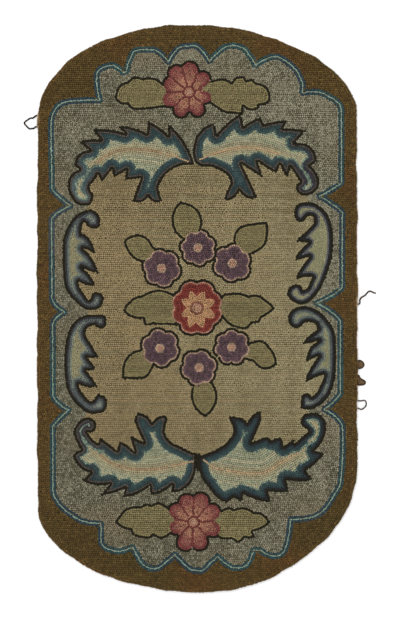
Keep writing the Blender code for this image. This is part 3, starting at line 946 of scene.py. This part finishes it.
MIDDLE_LEAVES = (
    (
        (-36, -0.8, 0.08), (-32.5, 4.2, 0.1), (-27, 6.4, 0.05), (-21, 9, 0.08), (-15, 8.6, 0.05),
        (-10, 6, 0), (-9, 0, 0), (-10, -8.2, 0), (-15.5, -7.8, 0.05), (-21.5, -7.4, 0.1), (-25.6, -8, 0.1),
        (-26.2, -4.8, 0.05), (-32, -4.2, 0.1),
    ),
    (
        (38, 0.2, 0.03), (31.5, -4.4, 0.03), (30.2, -6.6, 0.03), (26.5, -7.2, 0.1), (24, -9.8, 0.08),
        (19, -9.2, 0.05), (14, -6.6, 0), (9, 0, 0), (12, 6.6, 0.05), (17.5, 7.8, 0.05), (22.5, 7.2, 0.08),
        (25, 6.2, 0.08), (29.2, 6.8, 0.1), (32.6, 5, 0.05),
    ),
)
CRIMSON = (104, 51, 43)
CRIMSON_DARK = (94, 43, 39)
CRIMSON_RIM = (136, 98, 82)
STAR_PEACH = (146, 112, 82)
RING_BROWN = (102, 66, 52)
PURPLE = (81, 63, 66)
PURPLE_DARK = (66, 53, 57)
ROSE_GREY = (134, 112, 95)
EYE_PINK = (138, 106, 88)
OLIVE = (102, 93, 66)
OLIVE_PALE = (111, 103, 72)


def petalled(middle, petals, notch, fullness=2.4):
    """The closed clockwise line round a flower: at each angle it goes as far out as its fullest petal there.

    A petal goes out by reach (1 - notch (angle from its middle / half the step to the next) ^ fullness).
    """
    turn = -np.linspace(0.0, 2 * math.pi, 720, endpoint=False)
    way, reach = np.array(petals, float).T
    half = math.pi / len(petals)
    off = np.abs((turn[:, None] - np.radians(way)[None] + math.pi) % (2 * math.pi) - math.pi)
    radius = (reach[None] * (1 - notch * (off / half).clip(0, 1.9) ** fullness)).max(axis=1) * LOOP
    line = np.array(middle) * LOOP + np.stack([np.cos(turn), np.sin(turn)], axis=1) * radius[:, None]
    return spaced(line, LOOP / 4, True)


def outline_row(line, under):
    """A flower's dark outline row, left out where the flower lies on one of the leaves under it."""
    row = row_inside(line, OUTLINE_DEPTH, OUTLINE_STEP)
    for leaf in under:
        row = row[~inside(row[:, :2], leaf)]
    return row_tones(row, INK)


def rounds(line, tones, first, step):
    """Rows inside one another, the first at a depth and the rest a step further in, one for each tone."""
    parts = [row_tones(row_inside(line, (first + k * step) * LOOP), tone) for k, tone in enumerate(tones)]
    return np.vstack(parts)


def eye(middle, radius, tone):
    """A ring of loops round a flower's middle: middle + radius (cos a, sin a), or one loop at radius 0."""
    count = max(1, round(2 * math.pi * radius))
    turn = np.arange(count) * 2 * math.pi / count
    places = (np.array(middle) + radius * np.stack([np.cos(turn), np.sin(turn)], axis=1)) * LOOP
    return row_tones(np.column_stack([places, turn + math.pi / 2]), tone)


def straight_rows(line, chance, unevenness):
    """Straight rows along X over a line's whole span: x, y, turn and the row's number.

    Every row starts at its own place, and rises and falls by the unevenness times a slow sine along it.
    """
    low, high = line.min(axis=0), line.max(axis=0)
    rows = np.arange(math.floor(low[1] / LOOP), math.ceil(high[1] / LOOP) + 1)
    columns = np.arange(math.floor(low[0] / LOOP) - 1, math.ceil(high[0] / LOOP) + 1)
    row, column = np.meshgrid(rows, columns, indexing="ij")
    start = chance.uniform(0, 1, len(rows))[:, None]
    x = (column + start) * LOOP + chance.normal(0, 0.12 * MM, row.shape)
    slow = np.sin(x * 31.0 + chance.uniform(0, 6.28, len(rows))[:, None])
    y = row * LOOP + unevenness * slow + chance.normal(0, 0.12 * MM, row.shape)
    turn = chance.normal(0, 0.12, row.shape)
    places = np.column_stack([x.ravel(), y.ravel(), turn.ravel(), row.ravel()])
    places = places[(places[:, :2] > low).all(axis=1) & (places[:, :2] < high).all(axis=1)]
    down_row, over_column = squares(places).T
    places = places[~taken[down_row, over_column]]
    return places[inside(places[:, :2], line)]


def one_of(tones, chance):
    """For the gaps of a motif: a tone for each place, picked at random from a few."""
    return lambda places, depth: np.array(tones, float)[chance.integers(0, len(tones), len(places))]


hearts = [drawn(corners) for corners in HEART_LEAVES]
sprays = [drawn(corners) for corners in MIDDLE_LEAVES]
FLOWER_GAPS = 0.95 * LOOP  # in flowers, gaps are filled only deeper than this
chance = np.random.default_rng(31)
red_line = petalled(RED_MIDDLE, RED_PETALS, 0.10)
star_line = petalled(RED_MIDDLE, STAR_POINTS, 0.36, 1.1)
star_rows = np.vstack(
    [
        eye(RED_MIDDLE, 0.95, EYE_PINK),
        eye(RED_MIDDLE, 2.9, RING_BROWN),
        eye(RED_MIDDLE, 1.95, EYE_PINK),
        rounds(star_line, (STAR_PEACH,) * 8, 0.35, 0.95),
    ]
)
nothing = np.empty((0, 6))
star = worked(nothing, star_rows, star_line, one_of((STAR_PEACH,), chance), 0.0, chance, 0.12)
red_rounds = rounds(red_line, (CRIMSON_RIM, CRIMSON, CRIMSON_DARK, CRIMSON, CRIMSON_DARK, CRIMSON), 1.4, 0.93)
red_outline = outline_row(red_line, sprays)
red = worked(red_outline, red_rounds, red_line, one_of((CRIMSON,), chance), FLOWER_GAPS, chance, 0.14)
flower_wool = wool("flower wool", 0.5, 0.35 * MM)
pile("red_flower_pile", np.vstack([star, red]), 2.8 * MM, 2.55 * MM, flower_wool, chance)

purple_parts = []
for x, y, first_way, petals, flower_reach in PURPLE_FLOWERS:
    ways = first_way + 360.0 / petals * np.arange(petals)
    reaches = flower_reach + chance.uniform(-0.35, 0.35, petals)
    flower_line = petalled((x, y), tuple(zip(ways, reaches)), 0.13)
    within = straight_rows(flower_line, chance, 0.5 * MM)
    within = within[nearest(within[:, :2], flower_line) > 3.0 * LOOP]
    purple = mixed(PURPLE, PURPLE_DARK, chance.normal(0.4, 0.5, len(within)))
    purple_rows = np.vstack(
        [
            eye((x, y), 0, EYE_PINK),
            eye((x, y), 0.95, EYE_PINK),
            eye((x, y), 1.9, ROSE_GREY),
            rounds(flower_line, (ROSE_GREY, PURPLE), 1.4, 0.85),
            np.column_stack([within[:, :3], purple]),
        ]
    )
    gap_tones = one_of((PURPLE, PURPLE_DARK), chance)
    outline = outline_row(flower_line, hearts)
    flower = worked(outline, purple_rows, flower_line, gap_tones, FLOWER_GAPS, chance, 0.15)
    purple_parts.append(flower)
purple_wool = wool("purple wool", 0.45, 0.35 * MM)
pile("purple_flowers_pile", np.vstack(purple_parts), 2.8 * MM, 2.65 * MM, purple_wool, chance)


# --- The two pink flowers at the ends ---
# Eight long petals, parted by dark red rows that run in to a ring round a pale eye, with dark tips.
# Only their outer side has the dark outline: they lie on the olive leaves beside them.

UPPER_PINK_MIDDLE = (-4.0, 105.9)
UPPER_PINK_PETALS = (
    (88, 15.4), (43, 13.6), (-18, 12.0), (-64, 13.5), (-114, 13.8), (-159, 14.3), (158, 13.9), (124, 15.6),
)
LOWER_PINK_MIDDLE = (-1.8, -104.3)
LOWER_PINK_PETALS = (
    (109, 15.0), (71, 15.6), (28, 15.0), (-20, 14.4), (-73, 14.8), (-112, 15.3), (-163, 12.9), (147, 14.4),
)
UPPER_OLIVE_LEAVES = (
    (
        (-40, 102.5, 0.06), (-39.5, 106.5, 0.08), (-37, 110, 0.03), (-34, 111, 0.06), (-31, 113.5, 0.06),
        (-26.5, 112.5, 0.08), (-20, 112.5, 0.06), (-15, 108.5, 0), (-6, 105, 0), (-12, 99.5, 0.02),
        (-24.5, 97.5, 0.03), (-32, 97.5, 0.06), (-34, 100, 0.05), (-37, 100, 0.06),
    ),
    (
        (4, 111.5, 0), (7.5, 111.5, 0.06), (12.5, 112.5, 0.06), (17, 110.5, 0.08), (18.5, 113, 0.08),
        (23, 113.5, 0.06), (24, 111.5, 0.08), (28, 112, 0.04), (28.5, 110.5, 0.06), (34, 108.5, 0.12),
        (35.5, 101.5, 0.06), (33.5, 100, 0.06), (30, 99.5, 0.03), (30.5, 98, 0.1), (25.5, 97, 0.08),
        (22.5, 99, 0), (22.5, 95, 0), (14.5, 95.5, 0.04), (7.5, 99.5, 0), (-2, 105, 0),
    ),
)
LOWER_OLIVE_LEAVES = (
    (
        (-40, -104.5, 0.05), (-37.5, -100.5, 0.1), (-33, -97, 0.06), (-27.5, -96.5, 0.04),
        (-24, -95, 0.04), (-22.5, -96, 0.06), (-19.5, -94.5, 0.08), (-13.5, -97.5, 0), (-5, -104, 0),
        (-13.5, -110.5, 0.06), (-18, -112.5, 0.06), (-21.5, -110.5, 0.04), (-22.5, -112, 0.08),
        (-26, -112, 0.06), (-31.5, -110.5, 0.06), (-32.5, -108, 0.04), (-35.5, -107.5, 0.04),
    ),
    (
        (5, -101, 0), (12.5, -98, 0.06), (16, -97, 0.06), (18, -98, 0.06), (23, -97, 0.06),
        (28, -99.5, 0.04), (31, -99.5, 0.08), (35.5, -104, 0.1), (34, -106, 0.04), (27, -109, 0.03),
        (28.5, -112, 0.03), (23, -112, 0.08), (20, -114.5, 0.06), (17, -112.5, 0.03), (11.5, -112.5, 0),
        (2, -106, 0),
    ),
)
MAROON = (90, 49, 46)
MAGENTA = (100, 54, 52)
ROSE = (113, 70, 63)
SALMON = (134, 96, 77)
SHELL = (146, 114, 97)


def pink_flower(middle, petals, under, chance):
    """One pink flower: the eye, the rows that part its petals, the tips, and rounds of rose to salmon."""
    line = petalled(middle, petals, 0.20)
    way = np.sort(np.radians(np.array(petals)[:, 0]) % (2 * math.pi))
    seam = (way + np.append(way[1:], way[0] + 2 * math.pi)) / 2
    rings = ((0, SHELL), (0.95, SHELL), (1.8, SALMON), (2.7, MAROON))
    parts = [eye(middle, radius, tone) for radius, tone in rings]
    along = np.arange(3.5, 13.0, 0.9)
    for turn in seam:
        places = (np.array(middle) + along[:, None] * np.array([math.cos(turn), math.sin(turn)])) * LOOP
        places = places[inside(places, line)]
        places = places[nearest(places, line) > 0.8 * LOOP]
        parts.append(row_tones(np.column_stack([places, np.full(len(places), turn)]), MAROON))
    parts.append(row_tones(row_inside(line, 1.4 * LOOP), MAGENTA))
    parts.append(row_tones(row_inside(line, 2.3 * LOOP), mixed(MAGENTA, ROSE, np.array([0.45]))[0]))

    def petal_tones(places, depth):
        """Salmon near the eye and rose further out."""
        out = np.linalg.norm(places - np.array(middle) * LOOP, axis=1) / (13.0 * LOOP)
        return mixed(SALMON, ROSE, (out - 0.4) / 0.4 + chance.normal(0, 0.3, len(out)))

    for depth in np.arange(3.25, 9.0, 0.95):
        row = row_inside(line, depth * LOOP)
        parts.append(np.column_stack([row, petal_tones(row[:, :2], depth)]))
    outline = outline_row(line, under)
    return worked(outline, np.vstack(parts), line, petal_tones, FLOWER_GAPS, chance, 0.12)


chance = np.random.default_rng(42)
upper_olive = [drawn(corners) for corners in UPPER_OLIVE_LEAVES]
lower_olive = [drawn(corners) for corners in LOWER_OLIVE_LEAVES]
pink_flowers = (
    pink_flower(UPPER_PINK_MIDDLE, UPPER_PINK_PETALS, upper_olive, chance),
    pink_flower(LOWER_PINK_MIDDLE, LOWER_PINK_PETALS, lower_olive, chance),
)
pile("pink_flowers_pile", np.vstack(pink_flowers), 2.8 * MM, 2.55 * MM, flower_wool, chance)


# --- The olive leaves ---
# Six heart-shaped leaves and two long ones round the middle flowers, and two beside each pink flower.
# Each has one dark outline row and a paler row, and is filled with straight, slightly streaked rows.

ROW_NUMBERS = 400  # more than the rows that a piece has, so each has a number of its own


def olive_leaf(line, chance):
    """One leaf, outline first; each straight row has a streak of its own between the two olives."""
    flat = straight_rows(line, chance, 0.3 * MM)
    flat = flat[nearest(flat[:, :2], line) > 2.1 * LOOP]
    streak = chance.uniform(0, 1, ROW_NUMBERS)[(flat[:, 3] % ROW_NUMBERS).astype(int)]
    flat = np.column_stack([flat[:, :3], mixed(OLIVE, OLIVE_PALE, streak)])
    rows = np.vstack([row_tones(row_inside(line, 1.4 * LOOP), OLIVE_PALE), flat])
    outline = row_tones(row_inside(line, OUTLINE_DEPTH, OUTLINE_STEP), INK)

    def leaf_tones(places, depth):
        """The dark outline's tone near the line and olive further in."""
        return np.where((depth < 1.0)[:, None], np.array(INK, float), np.array(OLIVE, float))

    return worked(outline, rows, line, leaf_tones, GAP_DEPTH, chance, 0.10)


chance = np.random.default_rng(53)
olive_leaves = [olive_leaf(line, chance) for line in (*sprays, *hearts, *upper_olive, *lower_olive)]
olive_wool = wool("olive wool", 0.5, 0.35 * MM)
pile("olive_leaves_pile", np.vstack(olive_leaves), 2.85 * MM, 2.5 * MM, olive_wool, chance)


# --- The scalloped line ---
# Three rows that run round the ground in scallops: a pale one between two blue-green ones.
# The blue-green wool drifts to navy and to grey-lilac along the line, as different dye lots were used up.

SCALLOPS = (
    (-71, 58.5, 0), (-71.5, 91.5, 0.05), (-69, 98, 0.08), (-64.5, 101, 0.02), (-53, 102, 0),
    (-47.5, 102, 0.03), (-49, 109, 0.04), (-49, 114.5, 0.1), (-47.5, 117, 0.08), (-41, 119, 0.05),
    (-36, 115.5, 0), (-34.5, 116, 0.04), (-31.5, 125, 0.1), (-29, 126.5, 0.02), (-20.5, 126.5, 0.06),
    (-14, 120.5, 0.05), (-10.5, 126, 0.1), (-7.5, 128, 0.03), (-1, 128.5, 0.08), (2, 126.5, 0.04),
    (6, 121, 0.04), (9.5, 124.5, 0.06), (14, 128, 0.1), (21, 128, 0.1), (25, 124.5, 0.05),
    (28.5, 119, 0.03), (34.5, 122.5, 0.08), (39.5, 123, 0.06), (44, 120.5, 0.05), (47, 118, 0.08),
    (50, 113.5, 0.05), (51.5, 110, 0.02), (51.5, 105.5, 0.03), (59, 106, 0.06), (64.5, 103.5, 0.06),
    (68.5, 101, 0.08), (70.5, 97.5, 0), (70.5, 61.5, 0.03), (59.5, 55, 0.04), (66, 51, 0.06),
    (70.9, 47, 0), (70.9, 10.5, 0.04), (67.5, 7.5, 0.03), (58.2, 2.8, 0.04), (66, -2, 0.06), (70, -6, 0),
    (70, -41.5, 0.04), (67.5, -44.5, 0.03), (62.1, -49.1, 0.04), (68.5, -53.5, 0.05), (71, -57, 0.02),
    (70, -85.5, 0.04), (66.5, -91.5, 0.04), (63, -97, 0.08), (58, -101, 0.04), (52.5, -102.5, 0.02),
    (45.5, -103, 0.02), (45, -109, 0.03), (43, -117.5, 0.12), (40, -120.5, 0.08), (35.5, -120.5, 0.06),
    (31, -118, 0.02), (27.5, -118, 0.03), (25.5, -123.5, 0.08), (22, -126.5, 0.04), (17.5, -126.5, 0.06),
    (14, -124.5, 0.03), (10, -121, 0.03), (6, -124.5, 0.06), (2.5, -128, 0.04), (-3, -127.5, 0.06),
    (-7.5, -123.5, 0.03), (-11, -120, 0.04), (-15, -123.5, 0.06), (-20, -127, 0.1), (-25, -126, 0.08),
    (-29, -121, 0.03), (-31.5, -116.5, 0.02), (-37.5, -118.5, 0.06), (-43, -117.5, 0.1), (-47, -114.5, 0),
    (-47, -105, 0.02), (-55.5, -104, 0.04), (-61.5, -100.5, 0.04), (-67, -96, 0.06), (-70.5, -89.5, 0),
    (-70.6, -57.5, 0.03), (-62.8, -49.6, 0.03), (-67.5, -46.5, 0.05), (-70.6, -42.5, 0),
    (-70.6, -7.5, 0.05), (-69, -4.5, 0.03), (-64.8, -1.6, 0.03), (-69, 1.5, 0.05), (-71, 5, 0),
    (-71.2, 44, 0.06), (-68, 47, 0.03), (-61.8, 50.4, 0.03), (-66.5, 54, 0.04),
)
LINE_PALE = (106, 122, 110)
LINE_TEAL = (44, 65, 66)
LINE_NAVY = (42, 56, 63)
LINE_LILAC = (70, 74, 76)


def drift(x, y, length, chance):
    """A slow change over the rug, from about -1 to 1: four sines of about this length, each its own way."""
    way = chance.uniform(0, 2 * math.pi, 4)
    size = 2 * math.pi / (length * chance.uniform(0.7, 1.5, 4))
    start = chance.uniform(0, 2 * math.pi, 4)
    waves = np.sin((x[:, None] * np.cos(way) + y[:, None] * np.sin(way)) * size + start)
    return waves.sum(axis=1) / 2.4


chance = np.random.default_rng(64)
scallop_line = drawn(SCALLOPS)
middle_row = row_tones(stitches_along(scallop_line, True, OUTLINE_STEP), LINE_PALE)
side_rows = np.vstack([row_inside(scallop_line, 1.0 * LOOP), row_inside(scallop_line[::-1], 1.0 * LOOP)])
lilac = drift(side_rows[:, 0], side_rows[:, 1], 0.35, chance)
side_tones = mixed(LINE_TEAL, LINE_NAVY, 0.5 + 0.8 * drift(side_rows[:, 0], side_rows[:, 1], 0.2, chance))
side_tones = mixed(side_tones, LINE_LILAC, (lilac - 0.7) * 1.5)
line_loops = settled(hook(np.vstack([middle_row, np.column_stack([side_rows, side_tones])])), 1)
line_loops = dyed(line_loops, chance, 0.10)
in_middle = nearest(line_loops[:, :2], scallop_line) < 2.0 * MM
line_loops[in_middle, 6] = chance.normal(0.62, 0.12, in_middle.sum())
line_loops[:, :2] += chance.normal(0, 0.4 * MM, (len(line_loops), 2))
line_wool = wool("scalloped line wool", 0.45, 0.35 * MM)
pile("scalloped_line_pile", line_loops, 2.8 * MM, 2.95 * MM, line_wool, chance)


# --- The tan field ---
# Straight rows from side to side behind the flowers. Each row took its wool from its own skein, so they are
# streaked. The field is redder to the left, paler to the right, and darker in slow bands.

# The field's edge, most of it hidden under the scrolls: (x, y, bow), in loops, clockwise.
FIELD_EDGE = (
    (-3, 74, 0), (-1, 70, 0), (6, 77, 0), (25, 80, 0), (47, 78, 0), (55, 66, 0), (54, 55, 0), (54, 49, 0),
    (61, 40, 0), (61, 20, 0), (57, 7, 0), (52, 2, 0), (58, -7, 0), (63, -20, 0), (61, -40, 0),
    (54, -48.5, 0), (56, -55, 0), (57, -66, 0), (48, -76, 0), (25, -80, 0), (7, -76, 0), (0, -71, 0),
    (-6, -76, 0), (-25, -80, 0), (-47, -76, 0), (-56, -66, 0), (-56, -56, 0), (-53, -50, 0), (-60, -40, 0),
    (-60, -10, 0), (-52, -2, 0), (-60, 8, 0), (-61, 30, 0), (-58, 44, 0), (-53, 50, 0), (-57, 56, 0),
    (-57, 66, 0), (-48, 76, 0), (-25, 77, 0),
)
TAN = (128, 113, 83)
TAN_PALE = (134, 126, 97)
TAN_DARK = (105, 93, 67)

chance = np.random.default_rng(97)
field_line = drawn(FIELD_EDGE)
field = hook(straight_rows(field_line, chance, 0.5 * MM))
filled = hook(gaps_in(field_line, chance))
field = np.vstack([field, np.column_stack([filled, np.round(filled[:, 1] / LOOP)])])
row_number = (field[:, 3] % ROW_NUMBERS).astype(int)
field = settled(field[:, :3], 6)
x, y = field[:, 0], field[:, 1]
row_streak = chance.normal(0, 1, ROW_NUMBERS)[row_number]
bands = np.sin(x * 62.0 + 0.8) * 0.5 + np.sin(x * 108.0 + 2.0) * 0.5
slow = drift(x, y, 0.3, chance)
tones = mixed(TAN, TAN_PALE, 0.5 + 2.2 * x + 0.2 * row_streak + 0.25 * slow)
darker = 0.2 + 1.6 * y**2 + 0.14 * row_streak + 0.14 * bands + 0.15 * slow
tones = mixed(tones, TAN_DARK, darker + chance.normal(0, 0.12, len(x)))
field = dyed(np.column_stack([field, tones]), chance, 0.07)
field_wool = wool("field wool", 0.6, 0.4 * MM)
pile("upper_field_pile", field[field[:, 1] > 0], 2.75 * MM, 2.42 * MM, field_wool, chance)
pile("lower_field_pile", field[field[:, 1] <= 0], 2.75 * MM, 2.42 * MM, field_wool, chance)


# --- The grey-green ground ---
# Two wools hooked together at random, a pale and a dark grey-green, so the ground is heathered all over.
# It fills what is left between the scalloped line and the field, round the leaves and the pink flowers.

GROUND_PALE = (122, 118, 100)
GROUND_DARK = (78, 75, 60)
GROUND_WARM = (111, 99, 79)

chance = np.random.default_rng(86)
ground = hook(straight_rows(scallop_line, chance, 0.8 * MM))
ground = settled(np.vstack([ground[:, :3], hook(gaps_in(scallop_line, chance))]), 6)
ground[:, 2] = chance.uniform(0, math.pi, len(ground))
x, y = ground[:, 0], ground[:, 1]
slow = drift(2.2 * x, 0.6 * y, 0.09, chance)
paler = 0.55 + 0.4 * x + 0.12 * y + 0.13 * slow + chance.normal(0, 0.3, len(x))
tones = mixed(GROUND_DARK, GROUND_PALE, paler)
tones = mixed(tones, GROUND_WARM, 0.4 * drift(x, y, 0.2, chance))
ground = dyed(np.column_stack([ground, tones]), chance, 0.05)
ground_wool = wool("ground wool", 0.9, 0.4 * MM, fineness=420.0)
pile("upper_ground_pile", ground[ground[:, 1] > 0], 2.7 * MM, 2.4 * MM, ground_wool, chance)
pile("lower_ground_pile", ground[ground[:, 1] <= 0], 2.7 * MM, 2.4 * MM, ground_wool, chance)


# --- The brown border ---
# Two rows of loops follow the rug's edge, the outer one a little lower, and straight rows fill the rest of
# the border.
# The brown drifts to rust and to olive, and the edge is worn where the yarn has been pulled out.

BROWN = (78, 62, 35)
BROWN_RUST = (81, 60, 34)
BROWN_OLIVE = (71, 59, 34)
WORN_TAN = (116, 94, 66)
# Each worn stretch of the edge is (x, y of its middle, half its length), in metres.
WORN_PLACES = ((-0.381, 0.452, 0.024), (0.383, 0.018, 0.018))


def brown_tones(loops, chance):
    """The loops with the border's brown, which drifts to rust and olive and is worn at the pulled places."""
    x, y = loops[:, 0], loops[:, 1]
    tones = mixed(BROWN, BROWN_RUST, drift(x, y, 0.22, chance))
    tones = mixed(tones, BROWN_OLIVE, drift(x, y, 0.3, chance))
    for worn_x, worn_y, half in WORN_PLACES:
        near = np.hypot((x - worn_x) / (4 * MM), (y - worn_y) / half)
        tones = mixed(tones, WORN_TAN, 1.4 * (1.2 - near))
    return np.column_stack([loops[:, :3], tones])


chance = np.random.default_rng(75)
rug_line = spaced(edge[::-1], LOOP / 4, True)
rim = hook(row_inside(rug_line, 2.5 * MM, OUTLINE_STEP))
rim[:, :2] += chance.normal(0, 0.25 * MM, (len(rim), 2))
second_rim = hook(row_inside(rug_line, 6.8 * MM))
rim = dyed(brown_tones(kept(rim), chance), chance, 0.16)
kept(second_rim)
border_wool = wool("border wool", 0.7, 0.4 * MM)
pile("rim_pile", rim, 2.75 * MM, 2.5 * MM, border_wool, chance, top=7.9 * MM)

border = hook(straight_rows(rug_line, chance, 0.4 * MM))
border = settled(np.vstack([border[:, :3], hook(gaps_in(rug_line, chance))]), 6)
border = border[inside(border[:, :2], rug_line)]
border = border[nearest(border[:, :2], rug_line) > 4.5 * MM]
border = dyed(brown_tones(np.vstack([second_rim, border]), chance), chance, 0.2)
pile("upper_border_pile", border[border[:, 1] > 0], 2.75 * MM, 2.35 * MM, border_wool, chance)
pile("lower_border_pile", border[border[:, 1] <= 0], 2.75 * MM, 2.35 * MM, border_wool, chance)
print("loops of wool:", sum(len(part) for part in hooked))


# --- Floor and light ---
# A plain near-white floor, an even pale surround, and one large soft light from the upper left.

floor_mesh = bpy.data.meshes.new("floor")
floor_mesh.from_pydata([(-6, -6, 0), (6, -6, 0), (6, 6, 0), (-6, 6, 0)], [], [(0, 1, 2, 3)])
floor_paint = bpy.data.materials.new("floor paint")
floor_paint.use_nodes = True
floor_shader = floor_paint.node_tree.nodes["Principled BSDF"]
floor_shader.inputs["Base Color"].default_value = (0.95, 0.95, 0.95, 1.0)
floor_shader.inputs["Roughness"].default_value = 0.9
floor_mesh.materials.append(floor_paint)
in_scene("floor", floor_mesh)

surround = bpy.data.worlds.new("pale surround")
surround.use_nodes = True
surround.node_tree.nodes["Background"].inputs["Color"].default_value = (1.0, 1.0, 1.0, 1.0)
surround.node_tree.nodes["Background"].inputs["Strength"].default_value = 1.0
bpy.context.scene.world = surround

lamp = bpy.data.lights.new("soft light", "AREA")
lamp.size = 2.4
lamp.energy = 45.0
lamp_place = in_scene("soft light", lamp)
lamp_place.location = (-0.9, 1.1, 3.0)
lamp_place.rotation_euler = (math.radians(-20), math.radians(-17), 0.0)
bpy.context.scene.view_settings.view_transform = "Standard"
